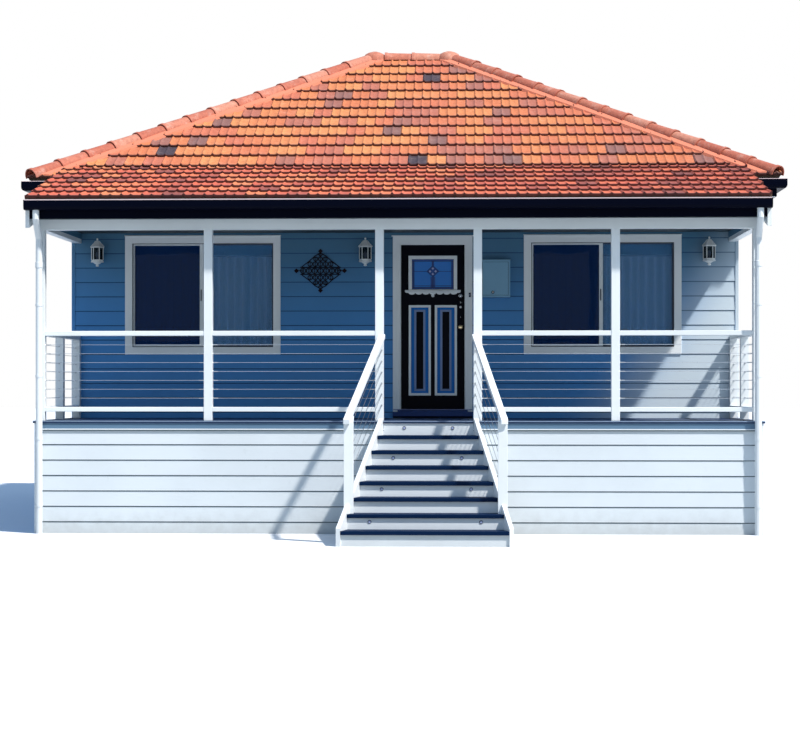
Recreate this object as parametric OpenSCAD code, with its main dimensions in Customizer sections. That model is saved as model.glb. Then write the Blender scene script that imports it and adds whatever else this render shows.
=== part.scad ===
// Beach house: a single-storey weatherboard cottage on a low base, with a hipped tile roof,
// a front verandah under a flatter roof, a splayed stair and a wire railing.
// Millimetres. The front faces -Y, the ground is Z = 0 and the origin is under the middle.

/* [House] */
// Width of the house over its walls
house_w = 8120; // [7600:20:9000]
// Depth of the house over its walls
house_d = 7080; // [6000:20:7600]
// Thickness of the outer walls
wall_t = 120; // [90:5:180]
// Height of the verandah boards over the ground
deck_h = 1264; // [1000:8:1500]
// Height of the inner floor over the verandah boards
floor_rise = 75; // [50:5:120]
// Height of the ceiling over the verandah boards
ceiling_h = 2780; // [2740:10:2860]
// Thickness of the ceiling
ceiling_t = 20; // [10:1:40]

/* [Verandah] */
// Depth of the verandah from the wall to the front of its posts
verandah_d = 2100; // [1800:20:2500]
// Thickness of the verandah boards
deck_t = 27; // [20:1:40]
// How far the boards stand out over the base
deck_over = 35; // [20:1:50]
// Side of a square post
post_w = 95; // [90:1:130]
// Height of the underside of the beam over the boards
beam_z = 2145; // [2090:5:2200]
// Height of the beam
beam_h = 120; // [90:5:160]
// Width of the beam
beam_w = 100; // [80:5:105]
// Thickness of the verandah ceiling lining
lining_t = 10; // [6:1:20]
// Middles of the posts between the corner posts, from the middle of the house
inner_post_x = [-2120, -194, 906, 2442];

/* [Railing] */
// Height of the underside of the top rail
rail_z = 954; // [880:2:1000]
// Height of the top rail
rail_h = 55; // [40:1:70]
// Width of the rails
rail_w = 85; // [60:1:100]
// Height of the underside of the bottom rail
low_rail_z = 102; // [60:2:140]
// Height of the bottom rail
low_rail_h = 52; // [40:1:70]
// Wires in a bay
wire_count = 7; // [4:1:9]
// Diameter of a wire
wire_d = 5; // [3:0.5:8]

/* [Stair] */
// Middle of the stair across the front
stair_x = 356; // [310:1:390]
// Number of risers
riser_count = 8; // [7:1:9]
// Depth of a step
going = 250; // [230:5:300]
// How far a tread stands out past its riser
nosing = 25; // [15:1:35]
// Gap between a tread and the stringer that it is housed against
tread_gap = 0.3; // [0.2:0.1:1]
// Thickness of a tread
tread_t = 40; // [30:1:50]
// Thickness of a riser board
riser_t = 18; // [12:1:25]
// Clear width of the stair at the top
stair_w = 1000; // [940:5:1005]
// How much each side moves out for a millimetre of run
splay = 0.208; // [0.1:0.004:0.26]
// Thickness of a stringer
stringer_t = 45; // [35:1:60]
// Upright depth of a stringer
stringer_h = 340; // [300:5:420]
// Height of a stringer's top edge over the line of the nosings
stringer_up = 55; // [30:1:80]
// Distance of the stair's end posts from the base
newel_run = 1375; // [1340:5:1400]
// Side of a stair end post
newel_w = 100; // [80:1:120]
// Height of the handrail's underside over the nosing line
handrail_up = 914; // [860:2:940]
// Height of the handrail, square to its slope
handrail_h = 45; // [35:1:60]
// Width of the handrail
handrail_w = 75; // [60:1:90]
// How far the handrail runs on past the end post
handrail_past = 40; // [20:5:80]
// Wires under a handrail
stair_wires = 6; // [3:1:8]
// Diameter of a step light
light_d = 40; // [30:1:60]
// How far a step light stands out of its riser
light_t = 6; // [3:1:10]

/* [Roof] */
// Rise of the main roof for a millimetre of run
rise = 0.516; // [0.44:0.004:0.58]
// Height of the roof's top face over the wall's outer face, from the boards
roof_z = 3127; // [3080:1:3200]
// How far the tiles stand out past the walls
eave_over = 450; // [420:5:560]
// Upright thickness of the main roof
roof_t = 100; // [80:5:120]
// Thickness of the tiles where they reach out over a gutter
tile_t = 15; // [10:1:17]
// Courses of tiles from the eaves to the ridge
tile_courses = 13; // [11:1:15]
// How far the lower edge of a course stands over the plane of its slope
course_up = 36; // [26:1:40]
// How far the upper edge of a course stands over that plane
course_low = 8; // [4:1:12]
// Fall of the verandah roof for a millimetre of run
fall = 0.257; // [0.21:0.001:0.28]
// Distance from the wall to the line where the slopes meet
break_out = 200; // [150:5:260]
// How far the verandah tiles stand out past the posts
verandah_over = 230; // [215:5:280]
// Upright thickness of the verandah roof
verandah_roof_t = 70; // [60:5:90]
// How far the verandah tiles stand out past the sides
verge_over = 80; // [60:5:150]
// Width of a barge board
barge_w = 45; // [30:1:60]
// Height of a barge board
barge_h = 260; // [180:5:280]
// Radius of the caps on the hips and the ridge
cap_r = 120; // [90:5:140]

/* [Eaves] */
// Thickness of a fascia board
fascia_t = 20; // [15:1:30]
// How far the fascia stands back from the edge of the tiles
fascia_in = 30; // [20:1:40]
// Height of the eaves soffit over the boards
soffit_z = 2655; // [2630:5:2700]
// Thickness of the soffit sheet
soffit_t = 8; // [6:1:15]
// Width of a gutter
gutter_w = 110; // [100:5:130]
// Height of a gutter
gutter_h = 110; // [90:5:120]
// Thickness of the gutter sheet
gutter_t = 3; // [2:0.5:5]
// How far the verandah gutter's lip lies under the slope of the tiles at their edge
gutter_drop = 18; // [16:1:40]
// The same for the main gutter
main_drop = 40; // [16:1:50]
// Diameter of a downpipe
pipe_d = 76; // [60:2:90]
// Gap between a downpipe and the edge of the verandah boards
pipe_gap = 2; // [1:0.5:10]
// Height of the downpipe's bend
bend_h = 210; // [160:10:340]

/* [Windows] */
// Width of a window's hole in the wall
window_w = 1755; // [1500:5:1800]
// Height of a window's hole in the wall
window_h = 1292; // [1100:4:1300]
// Height of the middle of the windows over the boards
window_z = 1504; // [1480:2:1520]
// Width of the boards round a window or door
casing_w = 90; // [70:1:100]
// Thickness of those boards
casing_t = 22; // [15:1:30]
// How far those boards overlap the hole
casing_lap = 10; // [5:1:20]
// Width of a window frame's bars, seen from the front
frame_w = 16; // [12:1:40]
// Depth of a window frame
frame_d = 90; // [70:5:90]
// Width of a sash bar, seen from the front
sash_w = 24; // [20:1:50]
// Depth of a sash
sash_d = 30; // [20:1:34]
// Thickness of the glass
glass_t = 5; // [3:1:8]
// How far two sashes overlap at their meeting bars
sash_lap = 10; // [4:1:50]
// Width of the slim bars round the fixed pane
fixed_w = 14; // [12:1:28]
// Middle of the front windows, from the middle of the house
front_window_x = [-2461, 2431];
// Middle of each side window, from the front wall
side_window_y = [1750, 5170];
// Middle of each back window, from the middle of the house
back_window_x = [-2300, 2300];
// Thickness of a curtain
curtain_t = 40; // [20:1:60]
// Gap between a curtain and the wall
curtain_gap = 0.3; // [0.2:0.1:5]
// How far a curtain reaches past the hole all round
curtain_more = 60; // [30:5:80]

/* [Door] */
// Middle of the door, from the middle of the house
door_x = 361; // [340:1:380]
// Width of the door leaf
door_w = 790; // [760:2:810]
// Height of the door leaf
door_h = 2015; // [1960:5:2030]
// Thickness of the door leaf
door_t = 40; // [35:1:50]
// Gap round the door leaf
door_gap = 8; // [6:1:10]
// Thickness of the door's jambs
jamb_t = 25; // [20:1:35]
// Depth of the stop strips behind the casing
stop_d = 20; // [12:1:25]
// How far the stop strips stand out of the jambs
stop_w = 14; // [12:1:20]
// Gap between the stop strips and the leaf
stop_gap = 5; // [5:0.5:6]
// Thickness of the door sill
sill_t = 30; // [20:1:40]
// How far the sill stands out in front of the wall
sill_over = 55; // [50:5:80]
// How far its upper step stands back from the lower one
sill_back = 20; // [10:1:25]
// Height of its lower step
sill_step = 55; // [40:1:60]

/* [Door leaf] */
// Width of the glazed light in the door
light_w = 513; // [440:1:540]
// Height of the glazed light
light_h = 371; // [300:1:400]
// Height of the light's underside over the bottom of the leaf
light_z = 1464; // [1440:1:1500]
// Width of a lower panel
panel_w = 220; // [180:5:230]
// Height of a lower panel
panel_h = 1057; // [900:1:1100]
// Height of the lower panels over the bottom of the leaf
panel_z = 188; // [120:1:220]
// Gap between the middles of the two lower panels and the middle of the leaf
panel_off = 160; // [150:1:180]
// How deep a lower panel is sunk
panel_sink = 14; // [8:1:18]
// Width of the raised strip in a lower panel
strip_w = 85; // [60:1:110]
// Distance of the strip from the panel's edges at top and bottom
strip_in = 56; // [40:1:120]
// Width of the sloping border round the strip
strip_bevel = 13; // [6:1:24]
// Width of the mould round a lower panel
mould_w = 26; // [18:1:34]
// Width of the frame round the light
light_frame_w = 42; // [30:1:50]
// Width of the ledge under the light
ledge_w = 660; // [600:5:700]
// Height of the ledge
ledge_h = 34; // [20:1:40]
// How far the moulds stand out
mould_t = 10; // [6:1:16]
// Diameter of the knob
knob_d = 54; // [45:1:70]
// Height of the knob over the bottom of the leaf
knob_z = 999; // [900:1:1100]
// Distance of the knob from the free edge of the leaf
knob_in = 55; // [45:1:80]
// Radius of a hinge's knuckle
knuckle_r = 6; // [5:0.5:8]
// Height of a hinge
hinge_h = 100; // [75:5:120]

/* [Fittings] */
// Middles of the wall lanterns, from the middle of the house
lantern_x = [-3740, -457, 3710];
// Height of the underside of a lantern over the boards
lantern_z = 1850; // [1800:10:1880]
// Height of a lantern
lantern_h = 350; // [300:5:380]
// Width of a lantern's body across its flats
lantern_w = 150; // [120:5:180]
// Distance from the wall to a lantern's middle
lantern_out = 130; // [110:5:180]
// Middle of the wall ornament, from the middle of the house
ornament_x = -1013; // [-1060:1:-960]
// Height of the middle of the ornament over the boards
ornament_z = 1800; // [1700:5:1850]
// Width of the ornament
ornament_w = 650; // [560:5:680]
// Height of the ornament
ornament_h = 540; // [460:5:580]
// Thickness of the ornament's bars
ornament_t = 8; // [6:1:12]
// How far it stands off the wall
ornament_off = 14; // [13:1:20]
// Width of its bars
ornament_bar = 12; // [8:1:16]
// Left edge of the meter box
meter_x = 945; // [930:1:960]
// Underside of the meter box over the boards
meter_z = 1470; // [1400:5:1520]
// Width of the meter box
meter_w = 360; // [300:5:380]
// Height of the meter box
meter_h = 450; // [380:5:500]
// How far the meter box stands out of the wall
meter_d = 120; // [80:5:150]
// Thickness of the meter box's sides
meter_t = 6; // [3:1:10]
// Thickness of its door
meter_door_t = 14; // [10:1:20]
// Width of the raised rim round that door
meter_rim = 22; // [12:1:40]
// Gap between the box and its door
meter_gap = 5; // [5:0.5:8]

/* [Hidden] */

far = 20000;                                   // longer than the house, for cutting
eps = 1;                                       // how far a cutter runs past a face
half_w = house_w / 2;
corner_post_x = half_w - post_w / 2;
post_x = concat([-corner_post_x], inner_post_x, [corner_post_x]);
base_top = deck_h - deck_t;
floor_top = deck_h + floor_rise;
riser_h = deck_h / riser_count;
stair_run = (riser_count - 1) * going;
stair_slope = riser_h / going;
front_y = -(verandah_d + stair_run + nosing + riser_t);
fascia_out = eave_over - fascia_in;            // from the wall to the fascia's outer face
gutter_out = fascia_out + gutter_w;            // from the wall to the gutter's lip
mid_y = (front_y + house_d + gutter_out) / 2;

// Heights of the main roof
eave_z = deck_h + roof_z - eave_over * rise;
gutter_top = eave_z - main_drop;
half_depth = house_d / 2 + eave_over;
ridge_z = eave_z + half_depth * rise;
hip_x = half_w + eave_over;
ridge_half = hip_x - half_depth;
course_run = ceil(10 * half_depth / tile_courses) / 10;       // depth of a course in plan
front_run = course_run * sqrt((1 + rise * rise) / (1 + fall * fall));
least_course = 0.05;                           // a smaller share of a course joins the last one

// The verandah roof falls from the break line to its own gutter
break_z = deck_h + roof_z - break_out * rise;
tile_y = -(verandah_d + verandah_over);
front_fascia_y = tile_y + fascia_in;
tile_z = break_z - (-tile_y - break_out) * fall;
verge_x = half_w + verge_over;
fascia_low = deck_h + beam_z + beam_h - lining_t;   // underside of the front fascia
front_gutter_top = tile_z - gutter_drop;

// The stair is drawn about its own middle, with d counted forward from the base
stair_half = stair_w / 2;
splay_angle = atan(splay);
stair_centre = stair_half + stringer_t / 2;    // from the stair's middle to a stringer's middle
newel_x = stair_centre + splay * newel_run;
wire_step = (rail_z - low_rail_z - low_rail_h) / (wire_count + 1);

// Door leaf, its opening and its hinge line
door_l = door_x - door_w / 2;
door_bottom = floor_top + sill_t + door_gap - 2;
hole_l = door_l - door_gap - jamb_t;
hole_r = door_l + door_w + door_gap + jamb_t;
hole_top = door_bottom + door_h + door_gap + jamb_t;
door_y = wall_t - door_t;
door_casing_out = casing_w - jamb_t - door_gap + 2;     // past the hole, so that it hides the gap
hinge_x = door_l - 3;
hinge_y = wall_t + 6;
hinge_at = [220, 1000, 1780];                  // heights of the hinges on the leaf
hinge_leaf_w = 30;
hinge_leaf_t = 2;
ledge_gap = 8;                                 // from the light down to the top of its ledge

// Meter box door and the line of its hinges, beside the box
meter_door_y = -(meter_d + meter_gap + meter_door_t);
meter_knuckle_r = 5;
meter_knuckle_h = 60;
meter_leaf_gap = 0.7;
meter_sink = 3;                                // how deep the door's middle is sunk
meter_hinge_x = meter_x - meter_knuckle_r;
meter_hinge_y = -(meter_d + meter_gap + 3);

// Every window: middle, turn about Z
WINDOWS = concat(
    [for (x = front_window_x) [x, 0, 0]],
    [for (y = side_window_y) [-half_w, y, -90]],
    [for (y = side_window_y) [half_w, y, 90]],
    [for (x = back_window_x) [x, house_d, 180]]);

function nosing_z(d) = deck_h - d * stair_slope;
function verandah_top(y) = break_z - (-y - break_out) * fall;
function verandah_under(y) = verandah_top(y) - verandah_roof_t;
function main_under(y) = deck_h + roof_z + y * rise - roof_t;
function inner_half(d) = stair_half + splay * d;
function bay(i) = [post_x[i] + post_w / 2, post_x[i + 1] - post_w / 2];

// The top of a slope in courses, as points of depth and height: the depth of a course, the
// whole depth, the slope, and the height at the eave
function courses(run, total, slope, z) = let (n = ceil(total / run - least_course))
    [for (i = [0:n - 1], d = [i * run, i == n - 1 ? total : (i + 1) * run])
        [d, z + d * slope + course_up - (course_up - course_low) * (d - i * run) / run]];
function backwards(list) = [for (i = [len(list) - 1:-1:0]) list[i]];

// Puts what is drawn from the front wall onto the origin under the middle of the whole
module placed() {
    translate([0, -mid_y, 0]) children();
}

// A box from its low corner to its high corner
module block(a, b) {
    translate(a) cube([b[0] - a[0], b[1] - a[1], b[2] - a[2]]);
}

// The same shape on the left and on the right
module both_sides() {
    children();
    mirror([1, 0, 0]) children();
}

// An outline in depth and height, pulled along X
module along_x(points, x0, x1) {
    translate([x0, 0, 0]) rotate([90, 0, 90]) linear_extrude(x1 - x0) polygon(points);
}

// An outline in width and height, pulled along Y
module along_y(points, y0, y1) {
    translate([0, y1, 0]) rotate([90, 0, 0]) linear_extrude(y1 - y0) polygon(points);
}

// The solid under the four slopes of the main roof, lowered by a thickness; grown, the same
// slopes run on past the eaves
module under_slopes(lower, grow = 0) {
    x = hip_x + grow;
    y0 = -eave_over - grow;
    y1 = house_d + eave_over + grow;
    z = eave_z - lower - grow * rise;
    intersection() {
        along_x([[y0, -grow], [y1, -grow], [y1, z], [house_d / 2, ridge_z - lower], [y0, z]], -x, x);
        along_y([[-x, -grow], [x, -grow], [x, z], [0, z + x * rise], [-x, z]], y0, y1);
    }
}

// The solid under the courses of the four slopes; grown, the lowest course runs on past the
// eaves
module tiled_slopes(grow = 0) {
    top = courses(course_run, half_depth, rise, eave_z);
    low = [-grow, top[0][1] - grow * rise];
    side = concat([[-grow, 0], low], [for (i = [grow > 0 ? 0 : 1:len(top) - 1]) top[i]]);
    peak = top[len(top) - 1][1] + cap_r;
    y1 = house_d + eave_over;
    intersection() {
        along_x(concat([for (p = side) [p[0] - eave_over, p[1]]],
                       [for (i = [len(side) - 2:-1:0]) [y1 - side[i][0], side[i][1]]]),
                -hip_x - grow, hip_x + grow);
        along_y(concat([for (p = side) [p[0] - hip_x, p[1]]], [[-ridge_half, peak], [ridge_half, peak]],
                       [for (p = backwards(side)) [hip_x - p[0], p[1]]]),
                -eave_over - grow, y1 + grow);
    }
}

// The verandah's own stretch in front of the break line
module verandah_zone() {
    block([-verge_x, tile_y - far / 10, 0], [verge_x, -break_out, far]);
}

// What stands at a window's place, drawn for a hole in a wall that faces -Y
module at_windows(list = WINDOWS) {
    for (w = list)
        translate([w[0], w[1], deck_h + window_z]) rotate([0, 0, w[2]]) children();
}

// A flat frame that faces -Y: outer size, bar width, and its place in depth
module flat_frame(w, h, bar, y0, y1) {
    difference() {
        block([-w / 2, y0, -h / 2], [w / 2, y1, h / 2]);
        block([-w / 2 + bar, y0 - eps, -h / 2 + bar], [w / 2 - bar, y1 + eps, h / 2 - bar]);
    }
}

module window_hole() {
    block([-window_w / 2, -eps, -window_h / 2], [window_w / 2, wall_t + eps, window_h / 2]);
}

// Walls of the base
module base_wall(a, b) {
    color("lightsteelblue") placed() block([a[0], a[1], 0], [b[0], b[1], base_top]);
}

module base_front_wall() {
    base_wall([-half_w, -verandah_d], [half_w, -verandah_d + wall_t]);
}

module base_left_wall() {
    base_wall([-half_w, -verandah_d + wall_t], [-half_w + wall_t, house_d - wall_t]);
}

module base_right_wall() {
    base_wall([half_w - wall_t, -verandah_d + wall_t], [half_w, house_d - wall_t]);
}

module base_back_wall() {
    base_wall([-half_w, house_d - wall_t], [half_w, house_d]);
}

module house_floor() {
    color("tan") placed() block([-half_w, 0, base_top], [half_w, house_d, floor_top]);
}

module verandah_deck() {
    color("midnightblue") placed()
        block([-half_w - deck_over, -verandah_d - deck_over, base_top],
              [half_w + deck_over, 0, deck_h]);
}

// A wall of the house, cut to the underside of the roof, with its window holes
module house_wall(a, b) {
    color("lightsteelblue") placed() difference() {
        intersection() {
            block([a[0], a[1], floor_top], [b[0], b[1], far]);
            under_slopes(roof_t);
        }
        at_windows() window_hole();
    }
}

module front_wall_left() { house_wall([-half_w, 0], [hole_l, wall_t]); }

module front_wall_right() { house_wall([hole_r, 0], [half_w, wall_t]); }

module front_wall_over_door() {
    color("lightsteelblue") placed() intersection() {
        block([hole_l, 0, hole_top], [hole_r, wall_t, far]);
        under_slopes(roof_t);
    }
}

module left_wall() { house_wall([-half_w, wall_t], [-half_w + wall_t, house_d - wall_t]); }

module right_wall() { house_wall([half_w - wall_t, wall_t], [half_w, house_d - wall_t]); }

module back_wall() { house_wall([-half_w, house_d - wall_t], [half_w, house_d]); }

module ceiling() {
    color("white") placed()
        block([-half_w + wall_t, wall_t, deck_h + ceiling_h],
              [half_w - wall_t, house_d - wall_t, deck_h + ceiling_h + ceiling_t]);
}

// The four slopes, open below, cut back where the verandah roof joins
module main_roof() {
    color("sienna") placed() difference() {
        tiled_slopes();
        under_slopes(roof_t, fascia_in);
        difference() {
            under_slopes(tile_t, fascia_in);
            block([-half_w - fascia_out, -fascia_out, 0], [half_w + fascia_out, house_d + fascia_out, far]);
        }
        verandah_zone();
    }
}

// One line of caps from point a, running out at an angle in plan and rising by a slope
module cap_line(a, turn, climb, run) {
    translate(a) rotate([0, -climb, turn]) rotate([90, 0, 90])
        linear_extrude(run) intersection() {
            circle(r = cap_r, $fn = 12);
            translate([-cap_r, -cap_r / 2]) square([2 * cap_r, 2 * cap_r]);
        }
}

module hip_and_ridge_caps() {
    hip_run = half_depth * sqrt(2);
    climb = atan(rise / sqrt(2));
    color("salmon") placed() difference() {
        union() {
            both_sides() {
                cap_line([-hip_x, -eave_over, eave_z], 45, climb, hip_run / cos(climb));
                cap_line([-hip_x, house_d + eave_over, eave_z], -45, climb, hip_run / cos(climb));
            }
            cap_line([-ridge_half, house_d / 2, ridge_z], 0, 0, 2 * ridge_half);
        }
        tiled_slopes(2 * cap_r);
        verandah_zone();
        for (s = [-1, 1])
            block([s > 0 ? hip_x : -far, -far, 0], [s > 0 ? far : -hip_x, far, far]);
        block([-far, -far, 0], [far, -eave_over, far]);
        block([-far, house_d + eave_over, 0], [far, far, far]);
    }
}

module verandah_roof() {
    edge = front_fascia_y;
    top = courses(front_run, -break_out - tile_y, fall, tile_z);
    color("sienna") placed()
        along_x(concat([for (p = backwards(top)) [p[0] + tile_y, p[1]]],
                       [[tile_y, tile_z - tile_t], [edge, verandah_top(edge) - tile_t],
                        [edge, verandah_under(edge)], [-break_out, verandah_under(-break_out)]]),
                -verge_x, verge_x);
}

// Sloping boards under the verandah roof's side edges
module barge_boards() {
    y0 = front_fascia_y;
    y1 = -fascia_out;
    t0 = verandah_under(y0);
    t1 = verandah_under(y1);
    color("white") placed() both_sides()
        along_x([[y0, t0], [y1, t1], [y1, t1 - barge_h], [y0, t0 - barge_h]],
                verge_x - barge_w, verge_x);
}

// Boards that close the verandah roof at its sides, over the side beams
module verandah_side_panels() {
    y0 = front_fascia_y + fascia_t;
    z0 = deck_h + beam_z + beam_h;
    color("lightsteelblue") placed() both_sides()
        along_x([[y0, z0], [0, z0], [0, main_under(0)], [-break_out, main_under(-break_out)],
                 [-break_out, verandah_under(-break_out)], [y0, verandah_under(y0)]],
                half_w - fascia_t, half_w);
}

// A flat ring round the house, open at the front between the verandah's sides
module eaves_ring(inner, outer, z0, z1) {
    difference() {
        block([-half_w - outer, -outer, z0], [half_w + outer, house_d + outer, z1]);
        block([-half_w - inner, -inner, z0 - eps], [half_w + inner, house_d + inner, z1 + eps]);
        block([-half_w, -far, z0 - eps], [half_w, house_d / 2, z1 + eps]);
    }
}

module eaves_soffit() {
    z = deck_h + soffit_z;
    color("white") placed() eaves_ring(0, fascia_out - fascia_t, z, z + soffit_t);
}

module fascia() {
    color("midnightblue") placed() intersection() {
        eaves_ring(fascia_out - fascia_t, fascia_out, deck_h + soffit_z, far);
        under_slopes(roof_t);
    }
}

module front_fascia() {
    y0 = front_fascia_y;
    y1 = front_fascia_y + fascia_t;
    color("midnightblue") placed()
        along_x([[y0, fascia_low], [y1, fascia_low], [y1, verandah_under(y1)], [y0, verandah_under(y0)]],
                -verge_x + barge_w, verge_x - barge_w);
}

// Section of a gutter, with out counted from the fascia and up from its floor
function gutter_outer(x, z, s) = [
    [x, z], [x + s * gutter_w * 0.72, z],
    for (a = [-60:30:0])
        [x + s * (gutter_w * 0.72 + gutter_w * 0.28 * cos(a)),
         z + gutter_h * 0.35 + gutter_h * 0.35 * sin(a)],
    [x + s * gutter_w, z + gutter_h], [x, z + gutter_h]];

function gutter_inner(x, z, s) = [
    [x + s * gutter_t, z + gutter_t], [x + s * gutter_w * 0.7, z + gutter_t],
    [x + s * (gutter_w - gutter_t), z + gutter_h * 0.36],
    [x + s * (gutter_w - gutter_t), z + gutter_h + eps], [x + s * gutter_t, z + gutter_h + eps]];

// A plate with the gutter's section on all four of its edges
module gutter_plate(inner) {
    z = gutter_top - gutter_h;
    xs = half_w + fascia_out;
    y0 = -fascia_out;
    y1 = house_d + fascia_out;
    right = inner ? gutter_inner(xs, z, 1) : gutter_outer(xs, z, 1);
    left = inner ? gutter_inner(-xs, z, -1) : gutter_outer(-xs, z, -1);
    back = inner ? gutter_inner(y1, z, 1) : gutter_outer(y1, z, 1);
    front = inner ? gutter_inner(y0, z, -1) : gutter_outer(y0, z, -1);
    n = len(right) - 1;
    intersection() {
        along_y(concat([for (p = right) p], [for (i = [n:-1:0]) left[i]]),
                -fascia_out - gutter_w, house_d + fascia_out + gutter_w);
        along_x(concat([for (p = back) p], [for (i = [n:-1:0]) front[i]]),
                -half_w - fascia_out - gutter_w, half_w + fascia_out + gutter_w);
    }
}

module main_gutter() {
    z = gutter_top - gutter_h;
    reach = fascia_out + gutter_w;
    color("midnightblue") placed() difference() {
        gutter_plate(false);
        difference() {
            gutter_plate(true);
            block([-half_w - fascia_out - gutter_t, -fascia_out - gutter_t, 0],
                  [half_w + fascia_out + gutter_t, house_d + fascia_out + gutter_t, far]);
        }
        block([-half_w - fascia_out, -fascia_out, z - eps],
              [half_w + fascia_out, house_d + fascia_out, far]);
        block([-verge_x, -reach - eps, z - eps], [verge_x, house_d / 2, far]);
    }
}

module front_gutter() {
    z = front_gutter_top - gutter_h;
    color("midnightblue") placed() difference() {
        along_x([for (p = gutter_outer(front_fascia_y, z, -1)) p], -verge_x, verge_x);
        along_x([for (p = gutter_inner(front_fascia_y, z, -1)) p],
                -verge_x + gutter_t, verge_x - gutter_t);
    }
}

// A pipe from the gutter's floor, back to the post and down to the ground
module downpipes() {
    r = pipe_d / 2;
    top = front_gutter_top - gutter_h;
    y_top = front_fascia_y - gutter_w * 0.4;
    bend_z = fascia_low - 10;
    y_low = -(verandah_d + deck_over + pipe_gap + r);
    color("white") placed() both_sides() translate([-corner_post_x, 0, 0]) {
        translate([0, y_top, bend_z]) cylinder(r = r, h = top - bend_z, $fn = 12);
        hull() {
            translate([0, y_top, bend_z]) cylinder(r = r, h = eps, $fn = 12);
            translate([0, y_low, bend_z - bend_h]) cylinder(r = r, h = eps, $fn = 12);
        }
        translate([0, y_low, 0]) cylinder(r = r, h = bend_z - bend_h + eps, $fn = 12);
    }
}

module front_beam() {
    color("white") placed()
        block([-half_w, -verandah_d, deck_h + beam_z],
              [half_w, -verandah_d + beam_w, deck_h + beam_z + beam_h]);
}

module side_beams() {
    color("white") placed() both_sides()
        block([-half_w, -verandah_d + beam_w, deck_h + beam_z],
              [-half_w + beam_w, 0, deck_h + beam_z + beam_h]);
}

module verandah_lining() {
    z = deck_h + beam_z + beam_h;
    color("white") placed()
        block([-half_w + fascia_t, front_fascia_y + fascia_t, z], [half_w - fascia_t, 0, z + lining_t]);
}

// Middles of the short posts of the side railing, from the wall forward
side_post_y = [-post_w / 2, -verandah_d / 2 + post_w / 4];

module posts() {
    color("white") placed() {
        for (x = post_x)
            block([x - post_w / 2, -verandah_d, deck_h],
                  [x + post_w / 2, -verandah_d + post_w, deck_h + beam_z]);
        for (y = side_post_y)
            both_sides()
                block([-half_w, y - post_w / 2, deck_h],
                      [-half_w + post_w, y + post_w / 2, deck_h + rail_z]);
    }
}

module rails() {
    y = -verandah_d + post_w / 2;
    color("white") placed() {
        for (i = [0, 1, 3, 4]) {
            block([bay(i)[0], y - rail_w / 2, deck_h + rail_z],
                  [bay(i)[1], y + rail_w / 2, deck_h + rail_z + rail_h]);
            block([bay(i)[0], y - rail_w / 2, deck_h + low_rail_z],
                  [bay(i)[1], y + rail_w / 2, deck_h + low_rail_z + low_rail_h]);
        }
        both_sides() {
            x = -half_w + post_w / 2;
            block([x - rail_w / 2, -verandah_d + post_w, deck_h + rail_z],
                  [x + rail_w / 2, 0, deck_h + rail_z + rail_h]);
            for (s = side_bays())
                block([x - rail_w / 2, s[0], deck_h + low_rail_z],
                      [x + rail_w / 2, s[1], deck_h + low_rail_z + low_rail_h]);
        }
    }
}

// The two bays of a side railing, as stretches along Y
function side_bays() = [
    [-verandah_d + post_w, side_post_y[1] - post_w / 2],
    [side_post_y[1] + post_w / 2, side_post_y[0] - post_w / 2]];

function wire_z(i) = deck_h + low_rail_z + low_rail_h + (i + 1) * wire_step;

module front_wires() {
    color("silver") placed()
        for (b = [0, 1, 3, 4], i = [0:wire_count - 1])
            translate([bay(b)[0], -verandah_d + post_w / 2, wire_z(i)])
                rotate([0, 90, 0]) cylinder(d = wire_d, h = bay(b)[1] - bay(b)[0], $fn = 8);
}

module side_wires() {
    color("silver") placed() both_sides()
        for (s = side_bays(), i = [0:wire_count - 1])
            translate([-half_w + post_w / 2, s[1], wire_z(i)])
                rotate([90, 0, 0]) cylinder(d = wire_d, h = s[1] - s[0], $fn = 8);
}

// Draws on the stair's own middle line, with -Y as the way down
module on_stair() {
    placed() translate([stair_x, -verandah_d, 0]) children();
}

// Where the stair's end posts stand
module newel_space() {
    both_sides()
        block([-newel_x - newel_w / 2, -newel_run - newel_w / 2, 0],
              [-newel_x + newel_w / 2, -newel_run + newel_w / 2, newel_top()]);
}

function newel_top() = nosing_z(newel_run - newel_w / 2) + handrail_up;

// A plan shape between the stringers from one run to another
module splayed(d0, d1, h) {
    x0 = inner_half(d0) - tread_gap;
    x1 = inner_half(d1) - tread_gap;
    linear_extrude(h) polygon([[-x0, -d0], [x0, -d0], [x1, -d1], [-x1, -d1]]);
}

module stair_treads() {
    color("slategray") on_stair() difference() {
        for (i = [1:riser_count - 1])
            translate([0, 0, deck_h - i * riser_h - tread_t])
                splayed((i - 1) * going, i * going + riser_t + nosing, tread_t);
        newel_space();
    }
}

module stair_risers() {
    color("lightsteelblue") on_stair() difference() {
        for (i = [1:riser_count]) {
            low = i == riser_count ? 0 : deck_h - i * riser_h;
            high = i == 1 ? base_top : deck_h - (i - 1) * riser_h - tread_t;
            translate([0, 0, low]) splayed((i - 1) * going, (i - 1) * going + riser_t, high - low);
        }
        newel_space();
    }
}

// A board on the splayed line beside the treads, from an outline in run and height
module splayed_board(points, t) {
    stretch = 1 / cos(splay_angle);
    both_sides() translate([-stair_half, 0, 0]) rotate([0, 0, -splay_angle])
        rotate([90, 0, -90]) linear_extrude(t)
            polygon([for (p = points) [p[0] * stretch, p[1]]]);
}

module stringers() {
    end = stair_run + nosing + riser_t;
    top = stringer_up;
    color("white") on_stair() difference() {
        splayed_board([
            [-60, nosing_z(-60) + top], [end, nosing_z(end) + top], [end, 0],
            [(deck_h + top - stringer_h) / stair_slope, 0],
            [-60, nosing_z(-60) + top - stringer_h]], stringer_t);
        block([-far, 0, -far], [far, far, far]);
        block([-far, -deck_over, base_top], [far, far, far]);
        newel_space();
        block([-far, -far, 0], [far, -end, far]);
    }
}

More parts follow.
